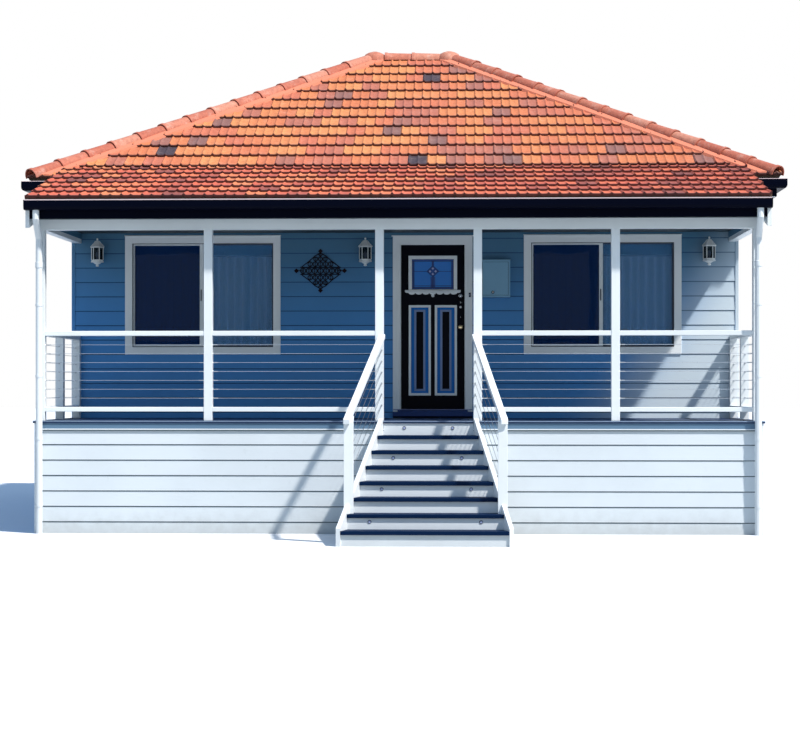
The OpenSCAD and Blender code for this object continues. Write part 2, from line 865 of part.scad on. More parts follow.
// A bar on the handrail's line, above its underside, from the post to past the stair's end post
module handrail_bar(wide, tall) {
    d0 = -2 * post_w;
    d1 = newel_run + newel_w / 2 + handrail_past;
    z0 = nosing_z(d0) + handrail_up;
    z1 = nosing_z(d1) + handrail_up;
    both_sides() translate([-stair_centre, 0, 0]) rotate([0, 0, -splay_angle])
        rotate([90, 0, -90]) translate([0, 0, -wide / 2]) linear_extrude(wide)
            polygon([for (p = [[d0, z0], [d1, z1], [d1, z1 + tall], [d0, z0 + tall]])
                [p[0] / cos(splay_angle), p[1]]]);
}

module newels() {
    color("white") on_stair() difference() {
        newel_space();
        handrail_bar(2 * newel_w, newel_w);
    }
}

module handrails() {
    color("white") on_stair() difference() {
        handrail_bar(handrail_w, handrail_h / cos(atan(stair_slope)));
        block([-far, 0, 0], [far, far, far]);
    }
}

module stair_wires_set() {
    flat = 1 / cos(splay_angle);
    room = handrail_up - stringer_up;
    climb = atan(stair_slope / flat);
    run = newel_run * flat / cos(climb);
    color("silver") on_stair() difference() {
        both_sides() for (i = [1:stair_wires])
            translate([-stair_centre, 0, deck_h + stringer_up + i * room / (stair_wires + 1)])
                rotate([0, 0, -splay_angle]) rotate([90 + climb, 0, 0])
                    translate([0, 0, -60]) cylinder(d = wire_d, h = run + 60, $fn = 8);
        block([-far, 0, 0], [far, far, far]);
        newel_space();
        block([-far, -far, 0], [far, -newel_run, far]);
    }
}

module step_lights() {
    color("silver") on_stair()
        for (i = [1:2:riser_count - 1], s = [-1, 1])
            translate([s * (inner_half((i - 1) * going) - 230),
                       -(i - 1) * going - riser_t, deck_h - (i - 0.5) * riser_h])
                rotate([90, 0, 0]) cylinder(d = light_d, h = light_t);
}

// Windows: a sliding sash in front of a fixed pane, in one frame
module window_frames() {
    color("white") placed() at_windows() flat_frame(window_w, window_h, frame_w, 0, frame_d);
}

module window_casings() {
    w = window_w + 2 * (casing_w - casing_lap);
    h = window_h + 2 * (casing_w - casing_lap);
    color("white") placed() at_windows() flat_frame(w, h, casing_w, -casing_t, 0);
}

// Sizes of a sash, and the depth at which each of the two stands
sash_room = window_w - 2 * frame_w;
sash_wide = (sash_room + sash_lap) / 2;
sash_high = window_h - 2 * frame_w;
sash_in = 12;
sash_y = [sash_in, sash_in + sash_d + 4];
sash_bar = [sash_w, fixed_w];

module at_sash(i) {
    translate([(i * 2 - 1) * (sash_room - sash_wide) / 2, sash_y[i], 0]) children();
}

module window_sashes() {
    color("white") placed() at_windows() for (i = [0, 1]) at_sash(i)
        flat_frame(sash_wide, sash_high, sash_bar[i], 0, sash_d);
}

module window_glass() {
    y = (sash_d - glass_t) / 2;
    color("lightblue", 0.5) placed() at_windows() for (i = [0, 1]) at_sash(i) {
        w = sash_wide / 2 - sash_bar[i];
        h = sash_high / 2 - sash_bar[i];
        block([-w, y, -h], [w, y + glass_t, h]);
    }
}

// Pleated curtains hang behind every window, as plain slabs here
module curtains() {
    w = window_w / 2 + curtain_more;
    h = window_h / 2 + curtain_more;
    y = wall_t + curtain_gap;
    color("gainsboro") placed() at_windows() block([-w, y, -h], [w, y + curtain_t, h]);
}

// Jambs, head and stop strips of the doorway
module door_frame() {
    color("white") placed() {
        difference() {
            block([hole_l, 0, floor_top + sill_t], [hole_r, wall_t, hole_top]);
            block([hole_l + jamb_t, -eps, 0], [hole_r - jamb_t, wall_t + eps, hole_top - jamb_t]);
        }
        difference() {
            y1 = door_y - stop_gap;
            block([hole_l + jamb_t, y1 - stop_d, floor_top + sill_t],
                  [hole_r - jamb_t, y1, hole_top - jamb_t]);
            block([hole_l + jamb_t + stop_w, -eps, 0],
                  [hole_r - jamb_t - stop_w, wall_t, hole_top - jamb_t - stop_w]);
        }
    }
}

module door_casing() {
    lap = door_casing_out;
    color("white") placed() difference() {
        block([hole_l - lap, -casing_t, floor_top], [hole_r + lap, 0, hole_top + lap]);
        block([hole_l - lap + casing_w, -casing_t - eps, 0],
              [hole_r + lap - casing_w, eps, hole_top + lap - casing_w]);
        block([hole_l, -casing_t - eps, 0], [hole_r, eps, floor_top + sill_t]);
    }
}

module door_sill() {
    color("slategray") placed() {
        block([hole_l, -sill_over + sill_back, floor_top], [hole_r, wall_t, floor_top + sill_t]);
        block([hole_l - door_casing_out, -sill_over, floor_top - sill_step],
              [hole_r + door_casing_out, 0, floor_top]);
    }
}

// Knuckles on the line that the door turns about, each on a leaf screwed to the jamb
module door_hinges() {
    color("dimgray") placed() for (z = hinge_at) {
        translate([hinge_x, hinge_y, door_bottom + z]) cylinder(r = knuckle_r, h = hinge_h);
        block([hinge_x - hinge_leaf_w, wall_t, door_bottom + z],
              [hinge_x, wall_t + hinge_leaf_t, door_bottom + z + hinge_h]);
    }
}

// The leaf's own middle is at its bottom edge, on its outer face
module on_door() {
    placed() translate([door_x, door_y, door_bottom]) children();
}

module door_panel_places() {
    for (s = [-1, 1]) translate([s * panel_off, 0, panel_z + panel_h / 2]) children();
}

module front_door() {
    color("midnightblue") on_door() {
        difference() {
            block([-door_w / 2, 0, 0], [door_w / 2, door_t, door_h]);
            block([-light_w / 2, -eps, light_z], [light_w / 2, door_t + eps, light_z + light_h]);
            door_panel_places()
                block([-panel_w / 2, -eps, -panel_h / 2], [panel_w / 2, panel_sink, panel_h / 2]);
        }
        door_panel_places() {
            w = strip_w / 2;
            h = panel_h / 2 - strip_in;
            b = strip_bevel;
            hull() {
                block([-w, 0, -h], [w, panel_sink, h]);
                block([-w - b, panel_sink / 2, -h - b], [w + b, panel_sink, h + b]);
            }
        }
    }
}

module door_mouldings() {
    color("white") on_door() {
        w = light_w + 2 * light_frame_w;
        difference() {
            block([-w / 2, -mould_t, light_z - ledge_gap], [w / 2, 0, light_z + light_h + light_frame_w]);
            block([-light_w / 2, -mould_t - eps, light_z], [light_w / 2, eps, light_z + light_h]);
        }
        door_panel_places()
            flat_frame(panel_w + 2 * mould_w, panel_h + 2 * mould_w, mould_w, -mould_t, 0);
        block([-ledge_w / 2, -2 * mould_t, light_z - ledge_gap - ledge_h],
              [ledge_w / 2, 0, light_z - ledge_gap]);
    }
}

module door_glass() {
    y = (door_t - glass_t) / 2;
    color("lightblue", 0.6) on_door()
        block([-light_w / 2, y, light_z], [light_w / 2, y + glass_t, light_z + light_h]);
}

module door_knobs() {
    color("goldenrod") on_door() translate([door_w / 2 - knob_in, 0, knob_z]) {
        rotate([90, 0, 0]) cylinder(d = knob_d, h = knob_d / 7);
        rotate([90, 0, 0]) cylinder(d = knob_d / 3, h = knob_d);
        translate([0, -knob_d, 0]) sphere(d = knob_d);
    }
}

// Six-sided wall lanterns on a back plate and an arm. Each step is where it starts as a
// share of the height, and its lower and upper radius as shares of the largest
LANTERN = [[0, 0.18, 0.62], [0.14, 0.92, 0.92], [0.24, 0.84, 0.84], [0.66, 1, 1],
           [0.72, 0.96, 0.30], [0.92, 0.16, 0.10], [1, 0, 0]];
plate_w = 70;                                  // back plate of a lantern, and its arm
plate_t = 12;
arm_w = 20;

module lanterns() {
    r = lantern_w / sqrt(3);
    arm = LANTERN[3][0] * lantern_h;
    color("white") placed() for (x = lantern_x) translate([x, 0, deck_h + lantern_z]) {
        block([-plate_w / 2, -plate_t, LANTERN[2][0] * lantern_h],
              [plate_w / 2, 0, LANTERN[4][0] * lantern_h]);
        block([-arm_w / 2, -lantern_out, arm], [arm_w / 2, -plate_t, arm + arm_w]);
        translate([0, -lantern_out, 0]) for (i = [0:len(LANTERN) - 2])
            translate([0, 0, LANTERN[i][0] * lantern_h])
                cylinder(r1 = LANTERN[i][1] * r, r2 = LANTERN[i][2] * r,
                         h = (LANTERN[i + 1][0] - LANTERN[i][0]) * lantern_h, $fn = 6);
    }
}

// Rows of rings in a diamond: height of a row and size of its rings as shares of half the
// diamond's height, and the number of rings
RINGS = [[0, 0.145, 7], [0.305, 0.13, 5], [-0.305, 0.13, 5], [0.535, 0.12, 3],
         [-0.535, 0.12, 3], [0.737, 0.10, 1], [-0.737, 0.10, 1]];

// An openwork diamond of rings between two bars, on studs in front of the boards
module wall_ornament() {
    w = ornament_w / 2;
    h = ornament_h / 2;
    bar = ornament_bar;
    band = 0.16 * h;
    tip = 0.11 * h;
    stub = 0.1 * w;
    color("saddlebrown") placed() translate([ornament_x, 0, deck_h + ornament_z])
        rotate([90, 0, 0]) {
            translate([0, 0, ornament_off]) linear_extrude(ornament_t) union() {
                for (row = RINGS, i = [0:row[2] - 1]) {
                    r = row[1] * h;
                    translate([(i - (row[2] - 1) / 2) * (2 * r - bar / 2), row[0] * h])
                        difference() { circle(r = r, $fn = 16); circle(r = r - bar, $fn = 16); }
                }
                for (s = [-1, 1]) {
                    translate([0, s * band]) square([2 * (w - tip) * (1 - band / h), bar], center = true);
                    translate([0, s * (h - tip)]) rotate(45) square(tip * sqrt(2), center = true);
                    translate([s * (w - tip), 0]) rotate(45) square(tip * sqrt(2), center = true);
                    translate([s * (w - tip - stub), 0]) square([2 * stub, bar], center = true);
                }
            }
            for (s = [-1, 1]) translate([s * (w - tip), 0, 0])
                cylinder(r = bar / 2, h = ornament_off + ornament_t / 2, $fn = 12);
        }
}

// A steel cupboard on the wall, open in front, and its door
module meter_box() {
    color("lightgray") placed() translate([0, 0, deck_h + meter_z]) {
        difference() {
            block([meter_x, -meter_d, 0], [meter_x + meter_w, 0, meter_h]);
            block([meter_x + meter_t, -meter_d - eps, meter_t],
                  [meter_x + meter_w - meter_t, -meter_t, meter_h - meter_t]);
        }
        for (z = [0.12, 0.74]) translate([0, 0, z * meter_h]) {
            translate([meter_hinge_x, meter_hinge_y, 0])
                cylinder(r = meter_knuckle_r, h = meter_knuckle_h);
            block([meter_hinge_x, meter_hinge_y, 0], [meter_x, -meter_d + 20, meter_knuckle_h]);
        }
    }
}

module meter_box_door() {
    x0 = meter_hinge_x + meter_knuckle_r + meter_leaf_gap;
    x1 = meter_x + meter_w;
    rim = meter_rim;
    color("lightgray") placed() translate([0, 0, deck_h + meter_z]) difference() {
        block([x0, meter_door_y, 0], [x1, meter_door_y + meter_door_t, meter_h]);
        block([x0 + rim, meter_door_y - eps, rim], [x1 - rim, meter_door_y + meter_sink, meter_h - rim]);
    }
}

base_front_wall();
base_left_wall();
base_right_wall();
base_back_wall();
house_floor();
verandah_deck();
front_wall_left();
front_wall_right();
front_wall_over_door();
left_wall();
right_wall();
back_wall();
ceiling();
main_roof();
hip_and_ridge_caps();
verandah_roof();
barge_boards();
verandah_side_panels();
eaves_soffit();
fascia();
front_fascia();
main_gutter();
front_gutter();
downpipes();
front_beam();
side_beams();
verandah_lining();
posts();
rails();
front_wires();
side_wires();
stair_treads();
stair_risers();
stringers();
newels();
handrails();
stair_wires_set();
step_lights();
window_frames();
window_casings();
window_sashes();
window_glass();
curtains();
door_frame();
door_casing();
door_sill();
door_hinges();
front_door();
door_mouldings();
door_glass();
door_knobs();
lanterns();
wall_ornament();
meter_box();
meter_box_door();
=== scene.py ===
"""Looks of a weatherboard beach house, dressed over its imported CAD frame.

Lengths are in metres, in the frame's own axes: the front faces -Y and the ground is z = 0.
"""

import logging
import math
import random
from dataclasses import dataclass, field, replace
from enum import Enum
from functools import cache
from typing import Iterable, Sequence

import bmesh
import bpy
import numpy as np
from mathutils import Matrix, Vector


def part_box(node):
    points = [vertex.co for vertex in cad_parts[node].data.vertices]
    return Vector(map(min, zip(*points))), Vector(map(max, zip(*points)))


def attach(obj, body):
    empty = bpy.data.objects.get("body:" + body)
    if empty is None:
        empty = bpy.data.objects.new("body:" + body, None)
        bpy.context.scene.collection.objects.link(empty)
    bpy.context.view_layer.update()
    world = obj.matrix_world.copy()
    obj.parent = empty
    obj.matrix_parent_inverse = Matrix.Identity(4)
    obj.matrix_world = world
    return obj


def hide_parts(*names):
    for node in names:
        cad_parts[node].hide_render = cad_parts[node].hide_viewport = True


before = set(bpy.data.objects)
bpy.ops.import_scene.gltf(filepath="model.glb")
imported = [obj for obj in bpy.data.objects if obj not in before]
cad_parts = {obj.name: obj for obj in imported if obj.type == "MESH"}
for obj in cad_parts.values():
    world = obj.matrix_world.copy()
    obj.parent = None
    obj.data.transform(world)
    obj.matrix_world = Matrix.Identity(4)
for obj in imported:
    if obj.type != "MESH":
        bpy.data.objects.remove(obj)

log = logging.getLogger("beach_house")
SEED = 7
WELD = 1e-5
SLIVER = 1e-4
NEAR = 1e-3
SMOOTH_UNDER = 40.0
BEVEL_OVER = 35.0
Triple = tuple[float, float, float]
Colour = Triple
Span = tuple[float, float]
Rectangle = tuple[float, float, float, float]
Box = tuple[Vector, Vector]
Profile = tuple[Span, ...]
HOUSE, DOOR, METER_DOOR = "house", "door", "meter_door"
CORNER_PAIRS = ((0, 1), (1, 2), (2, 3), (3, 0))


def rgb(code: int) -> Colour:
    """Turns red, green and blue in one number, such as 0xDCE8F2, into linear light."""
    parts = [(code >> shift & 255) / 255 for shift in (16, 8, 0)]
    return tuple(p / 12.92 if p < 0.04045 else ((p + 0.055) / 1.055) ** 2.4 for p in parts)


class Wire:
    """An output in a node tree; arithmetic on it adds Math nodes there."""

    def __init__(self, graph: "Graph", socket: bpy.types.NodeSocket) -> None:
        """Keeps the graph and the socket."""
        self.graph = graph
        self.socket = socket

    def maths(self, operation: str, *operands: "Wire | float") -> "Wire":
        """Adds one Math node, which takes the operands in order."""
        settings = {"operation": operation}
        return self.graph.add("ShaderNodeMath", settings, dict(enumerate(operands)))

    def __add__(self, other: "Wire | float") -> "Wire":
        """Adds."""
        return self.maths("ADD", self, other)

    def __sub__(self, other: "Wire | float") -> "Wire":
        """Subtracts."""
        return self.maths("SUBTRACT", self, other)

    def __rsub__(self, other: float) -> "Wire":
        """Subtracts from a number."""
        return self.maths("SUBTRACT", other, self)

    def __mul__(self, other: "Wire | float") -> "Wire":
        """Multiplies."""
        return self.maths("MULTIPLY", self, other)

    def __truediv__(self, other: "Wire | float") -> "Wire":
        """Divides."""
        return self.maths("DIVIDE", self, other)

    __radd__, __rmul__ = __add__, __mul__


class Graph:
    """One node tree, built node by node."""

    def __init__(self, tree: bpy.types.NodeTree) -> None:
        """Starts with an empty tree."""
        self.tree = tree
        tree.nodes.clear()

    def add(self, kind: str, settings: dict | None = None, inputs: dict | None = None,
            output: int | str = 0) -> Wire:
        """Adds a node.

        Args:
            kind: The node's type.
            settings: Its settings, set first; stops are a ramp's (place, colour) pairs.
            inputs: Values or wires by socket name or number.
            output: The output to hand back.

        Returns:
            That output.
        """
        node = self.tree.nodes.new(kind)
        for key, value in (settings or {}).items():
            if key == "stops":
                while len(node.color_ramp.elements) < len(value):
                    node.color_ramp.elements.new(1.0)
                for element, (place, colour) in zip(node.color_ramp.elements, value):
                    element.position = place
                    element.color = (*colour, 1.0)
            else:
                setattr(node, key, value)
        for key, value in (inputs or {}).items():
            if isinstance(value, Wire):
                self.tree.links.new(value.socket, node.inputs[key])
            else:
                node.inputs[key].default_value = value
        return Wire(self, node.outputs[output] if len(node.outputs) else None)

    def place(self, stretch: Triple = (1, 1, 1)) -> Wire:
        """The point on the piece in metres, stretched along each axis."""
        point = self.add("ShaderNodeTexCoord", output="Object")
        return self.add("ShaderNodeVectorMath", {"operation": "MULTIPLY"}, {0: point, 1: stretch})

    def dot(self, vector: Wire, along: Triple) -> Wire:
        """How far a vector reaches along a direction."""
        return self.add("ShaderNodeVectorMath", {"operation": "DOT_PRODUCT"},
                        {0: vector, 1: along}, "Value")

    def part(self, vector: Wire, axis: str) -> Wire:
        """One coordinate of a vector."""
        return self.add("ShaderNodeSeparateXYZ", None, {0: vector}, axis)

    def noise(self, scale: float, stretch: Triple = (1, 1, 1), detail: float = 3,
              roughness: float = 0.55) -> Wire:
        """Cloudy noise between 0 and 1.

        Args:
            scale: Clouds to a metre.
            stretch: How much finer it is along each axis.
            detail: Octaves.
            roughness: Weight of the finer octaves.

        Returns:
            The noise.
        """
        values = {"Vector": self.place(stretch), "Scale": scale, "Detail": detail,
                  "Roughness": roughness}
        return self.add("ShaderNodeTexNoise", None, values)

    def mark(self, name: str) -> Wire:
        """A value stored on the mesh, read back."""
        return self.add("ShaderNodeAttribute", {"attribute_name": name}, output="Fac")

    def ramp(self, value: Wire, *stops: tuple[float, Colour]) -> Wire:
        """Turns a value into a colour."""
        return self.add("ShaderNodeValToRGB", {"stops": stops}, {"Fac": value})

    def band(self, value: Wire, low: float, high: float) -> Wire:
        """Rises from 0 at low to 1 at high, or falls where low is the greater."""
        return self.add("ShaderNodeMapRange", {"interpolation_type": "SMOOTHSTEP"},
                        {"Value": value, "From Min": low, "From Max": high})

    def blend(self, factor: "Wire | float", first: "Wire | Colour", second: "Wire | Colour",
              way: str = "MIX") -> Wire:
        """Mixes two colours.

        Args:
            factor: Share of the second colour.
            first: The colour below.
            second: The colour laid over it.
            way: The Mix node's blend type.

        Returns:
            The mixed colour.
        """
        first, second = (c if isinstance(c, Wire) else (*c, 1.0) for c in (first, second))
        settings = {"data_type": "RGBA", "blend_type": way}
        return self.add("ShaderNodeMix", settings, {0: factor, 6: first, 7: second}, 2)

    def bump(self, height: Wire, distance: float) -> Wire:
        """Bends the normal by a height field, distance in metres."""
        return self.add("ShaderNodeBump", None, {"Height": height, "Distance": distance})

    def ray(self, kind: str) -> Wire:
        """1 for light that comes by a Camera, Glossy or Transmission ray."""
        return self.add("ShaderNodeLightPath", output=f"Is {kind} Ray")

    def mix(self, share: "Wire | float", first: Wire, second: Wire) -> Wire:
        """Mixes two shaders, by the share of the second."""
        return self.add("ShaderNodeMixShader", None, {0: share, 1: first, 2: second})


class Skin(Graph):
    """A material's graph with its shader at the end."""

    def __init__(self, name: str) -> None:
        """Makes the material and empties its tree.

        Args:
            name: The finish in plain words.
        """
        self.material = bpy.data.materials.new(name)
        self.material.use_nodes = True
        super().__init__(self.material.node_tree)

    def coat(self, **inputs: "Wire | float | tuple") -> Wire:
        """Adds the Principled shader; underscores in the names stand for spaces."""
        named = {key.replace("_", " "): value for key, value in inputs.items()}
        return self.add("ShaderNodeBsdfPrincipled", None, named)

    def close(self, shader: Wire) -> bpy.types.Material:
        """Joins a shader to the output and hands back the material."""
        self.add("ShaderNodeOutputMaterial", None, {"Surface": shader})
        return self.material


SOIL = rgb(0x6E675C)
DEEP_CLAY = rgb(0x8E4A38)
SOOT = rgb(0x3A2A2C)
BLOOM = rgb(0xF2D8C6)
SEAM = rgb(0x24170E)


@dataclass(frozen=True)
class Patches:
    """Clouds that show where a noise is high."""

    scale: float
    detail: float
    start: float
    full: float
    roughness: float = 0.55
    stretch: Triple = (1, 1, 1)

    def on(self, skin: Skin) -> Wire:
        """How strongly they show at a point."""
        cloud = skin.noise(self.scale, self.stretch, self.detail, self.roughness)
        return skin.band(cloud, self.start, self.full)


@dataclass(frozen=True)
class Wash:
    """A colour laid over a paint along one direction; here it paints shade under the eaves and sunlight
    on the walls.

    Attributes:
        along: The direction, in the house's axes.
        start: How far along it the change begins, and end, where it is complete.
        faces: What a face's own direction adds to how far along it lies.
        ragged: How far the change's edge wanders.
    """

    colour: Colour
    along: Triple
    start: float
    end: float
    share: float = 1.0
    faces: Triple = (0.0, 0.0, 0.0)
    ragged: float = 0.3
    clouds: float = 0.9

    def over(self, skin: Skin, tone: Wire | Colour) -> Wire:
        """Lays the change over a tone.

        Args:
            skin: The paint's graph.
            tone: The colour below.

        Returns:
            The changed colour.
        """
        facing = skin.add("ShaderNodeNewGeometry", output="Normal")
        turned = skin.dot(facing, self.faces)
        reach = skin.dot(skin.place(), self.along) + turned
        reach = reach + (skin.noise(self.clouds, detail=3) - 0.5) * self.ragged
        return skin.blend(skin.band(reach, self.start, self.end) * self.share, tone, self.colour)


@dataclass(frozen=True)
class Paint:
    """House paint on board, timber or metal.

    Attributes:
        drift: How much the tone sinks in the clouded places.
        soil: Share of dirt in the worst specks, and splash, close to the ground.
        stretch: How much finer the brush marks are along each axis.
        relief: Depth of the brush marks in metres.
        gloss: How strongly it mirrors, where 0.5 is plain enamel.
        washes: Painted shade and painted sunlight laid over it.
    """

    name: str
    colour: Colour
    roughness: float = 0.45
    drift: float = 0.07
    soil: float = 0.10
    splash: float = 0.0
    stretch: Triple = (1.0, 1.0, 1.0)
    relief: float = 0.0006
    gloss: float = 0.5
    washes: tuple[Wash, ...] = ()
    brush: float = 60
    clouds: Patches = Patches(0.8, 4, 0.35, 0.65)
    specks: Patches = Patches(11, 6, 0.58, 0.82, 0.7)
    splash_to: Span = (0.42, 0.08)

    def build(self) -> bpy.types.Material:
        """Makes the material.

        Returns:
            The material.
        """
        skin = Skin(self.name)
        brush = skin.noise(self.brush, self.stretch, detail=2)
        cloud = self.clouds.on(skin)
        dull = tuple(c * (1 - self.drift) for c in self.colour)
        clean = skin.blend(cloud, dull, self.colour)
        for wash in self.washes:
            clean = wash.over(skin, clean)
        dirt = self.specks.on(skin) * self.soil
        if self.splash:
            height = skin.part(skin.place(), "Z")
            wet = skin.band(height + skin.noise(9, detail=4) * 0.25, *self.splash_to)
            dirt = dirt + wet * self.splash
        shader = skin.coat(
            Base_Color=skin.blend(dirt, clean, SOIL),
            Specular_IOR_Level=self.gloss,
            Roughness=brush * 0.16 + (self.roughness - 0.08) + dirt * 0.3,
            Normal=skin.bump(brush, self.relief))
        return skin.close(shader)


@dataclass(frozen=True)
class Terracotta:
    """Fired clay that varies from tile to tile, with a painted shadow along its lower edge.

    Attributes:
        tones: Places from 0 to 1 and the clay's colours there; each tile stores its place.
        lip: Colour of the painted shadow along the lower edge, and lip_shadow_share, how strongly it
            shows.
        soot: Share of the dark weather streaks.
        bloom: Share of the pale bloom.
    """

    name: str
    tones: tuple[tuple[float, Colour], ...]
    lip: Colour
    lip_shadow_share: float = 0.9
    soot: float = 0.3
    bloom: float = 0.15
    streaks: Patches = Patches(2.1, 6, 0.52, 0.70, 0.72, (1, 0.6, 1))
    chalk: Patches = Patches(7.0, 5, 0.50, 0.75, 0.7)

    def build(self) -> bpy.types.Material:
        """Makes the material.

        Returns:
            The material.
        """
        skin = Skin(self.name)
        mottle = skin.noise(26, detail=6, roughness=0.65)
        place = skin.mark("tone") + (mottle - 0.5) * 0.16
        clay = skin.ramp(place, *self.tones)
        grit = skin.noise(240, detail=2)
        clay = skin.blend(skin.band(mottle, 0.3, 0.75) * 0.42, clay, DEEP_CLAY, "MULTIPLY")
        clay = skin.blend(self.streaks.on(skin) * self.soot, clay, SOOT)
        clay = skin.blend(self.chalk.on(skin) * self.bloom, clay, BLOOM)
        # Painted shadow: the edge mark darkens each tile's lower edge and skirt, and each cap's collar.
        edge = skin.band(skin.mark("edge") + (mottle - 0.5) * 0.25, 0.35, 0.95)
        clay = skin.blend(edge * self.lip_shadow_share, clay, self.lip)
        shader = skin.coat(Base_Color=clay, Roughness=grit * 0.2 + 0.62,
                           Normal=skin.bump(mottle + grit * 0.4, 0.003))
        return skin.close(shader)


@dataclass(frozen=True)
class Metal:
    """Bare or dark metal."""

    name: str
    colour: Colour
    roughness: float = 0.3
    tarnish: Colour = rgb(0x4A4038)
    patches: float = 0.2
    dull: Patches = Patches(18, 5, 0.5, 0.7)

    def build(self) -> bpy.types.Material:
        """Makes the material.

        Returns:
            The material.
        """
        skin = Skin(self.name)
        fine = skin.noise(120, detail=3)
        dull = self.dull.on(skin) * self.patches
        shader = skin.coat(
            Base_Color=skin.blend(dull, self.colour, self.tarnish),
            Metallic=1 - dull * 0.8,
            Roughness=fine * 0.15 + self.roughness + dull * 0.4,
            Normal=skin.bump(fine, 0.0004))
        return skin.close(shader)


@dataclass(frozen=True)
class Glazing:
    """Flat glass that lets the room show and mirrors more at a slant.

    Attributes:
        tint: What the glass does to the light that passes.
        body: Its own tone; on the window panes it is a painted reflection.
        veil: Least share of the mirror over what lies behind.
        waviness: Depth of the slow ripples in metres.
    """

    name: str
    tint: Colour
    body: Colour
    veil: float = 0.3
    waviness: float = 0.004
    slope: float = 0.25

    def build(self) -> bpy.types.Material:
        """Makes the material.

        Returns:
            The material.
        """
        skin = Skin(self.name)
        ripple = skin.bump(skin.noise(2.2, detail=1), self.waviness)
        bend = {"Blend": self.slope, "Normal": ripple}
        slant = skin.add("ShaderNodeLayerWeight", None, bend, "Facing")
        through = skin.add("ShaderNodeBsdfTransparent", None, {"Color": (*self.tint, 1.0)})
        mirror = skin.coat(Base_Color=(*self.body, 1.0), Roughness=0.03, Normal=ripple)
        share = skin.add("ShaderNodeMath", {"operation": "ADD", "use_clamp": True},
                         {0: slant * (1 - self.veil), 1: self.veil})
        return skin.close(skin.mix(share, through, mirror))


@dataclass(frozen=True)
class Sheer:
    """Thin woven curtain cloth, with painted shade in its folds."""

    name: str
    colour: Colour
    glow: float = 0.35
    thread: float = 900.0
    depth: float = 0.35
    creases: Patches = Patches(3.0, 4, 0.4, 0.7, stretch=(1, 1, 0.1))

    def build(self) -> bpy.types.Material:
        """Makes the material.

        Returns:
            The material.
        """
        skin = Skin(self.name)
        weave = skin.noise(self.thread, (1, 1, 0.15), detail=1)
        crease = self.creases.on(skin)
        # Painted shade in the folds' valleys, by the fold mark, and along random creases.
        fold_shade = skin.mark("fold") * 0.75 + crease * 0.25
        tone = skin.blend(fold_shade, self.colour, tuple(c * self.depth for c in self.colour))
        face = skin.coat(Base_Color=tone, Roughness=weave * 0.1 + 0.85,
                         Normal=skin.bump(weave, 0.0006))
        back = skin.add("ShaderNodeBsdfTranslucent", None, {"Color": (*self.colour, 1.0)})
        return skin.close(skin.mix(self.glow, face, back))


@dataclass(frozen=True)
class Timber:
    """Oiled boards with a long grain."""

    name: str
    early: Colour
    late: Colour
    stretch: Triple = (0.08, 1.0, 1.0)
    board: float = 0.09

    def build(self) -> bpy.types.Material:
        """Makes the material.

        Returns:
            The material.
        """
        skin = Skin(self.name)
        across = skin.part(skin.place(), "Y") / self.board
        row = across.maths("FLOOR", across)
        tone = skin.add("ShaderNodeTexWhiteNoise", {"noise_dimensions": "1D"}, {"W": row}, "Value")
        seam = skin.band(across.maths("PINGPONG", across, 0.5), 0.03, 0.0)
        grain = skin.noise(34, self.stretch, detail=5, roughness=0.6)
        wood = skin.blend(grain * 0.7 + tone * 0.3, self.early, self.late)
        wood = skin.blend(seam * 0.8, wood, SEAM)
        shader = skin.coat(Base_Color=wood, Roughness=grain * 0.2 + 0.35,
                           Normal=skin.bump(grain - seam * 2.0, 0.0015))
        return skin.close(shader)


CLAY = (
    (0.00, rgb(0x866058)), (0.10, rgb(0xAF6C58)), (0.28, rgb(0xC97152)), (0.50, rgb(0xD17A4C)),
    (0.72, rgb(0xD88A52)), (0.92, rgb(0xD99257)), (0.955, rgb(0x4E3D43)), (1.00, rgb(0x40323A)))
RED_CLAY = (
    (0.00, rgb(0x84483E)), (0.12, rgb(0xB85A44)), (0.40, rgb(0xDA6A4A)), (0.65, rgb(0xE27A4E)),
    (0.88, rgb(0xDC8856)), (1.00, rgb(0xDE9A66)))
SALMON = ((0.0, rgb(0xB8644B)), (0.6, rgb(0xC5775D)), (1.0, rgb(0xCE8C72)))
NAVY = rgb(0x030616)
BOARD_BRUSH = (0.1, 0.1, 1.0)
# Painted sunlight: the front wall pales along the diagonal of the sun patch past the verandah roof's
# end, and faces turned to the right pale with it.
SUNLIGHT_PATCH = Wash(rgb(0xD0DCE2), (1.0, 0.0, -0.75), 3.88, 5.10, 0.92, faces=(9.0, -3.0, 0.0))
# The joint grooves pale in the same painted sunlight.
JOINT_SUNLIGHT = replace(SUNLIGHT_PATCH, colour=rgb(0x7C90A0), share=1.0)
# Painted shade: the walls darken towards the top, for the shade under the eaves.
EAVES_SHADE = Wash(rgb(0x3E646F), (0.0, 0.0, 1.0), 2.2, 3.6, 0.76)
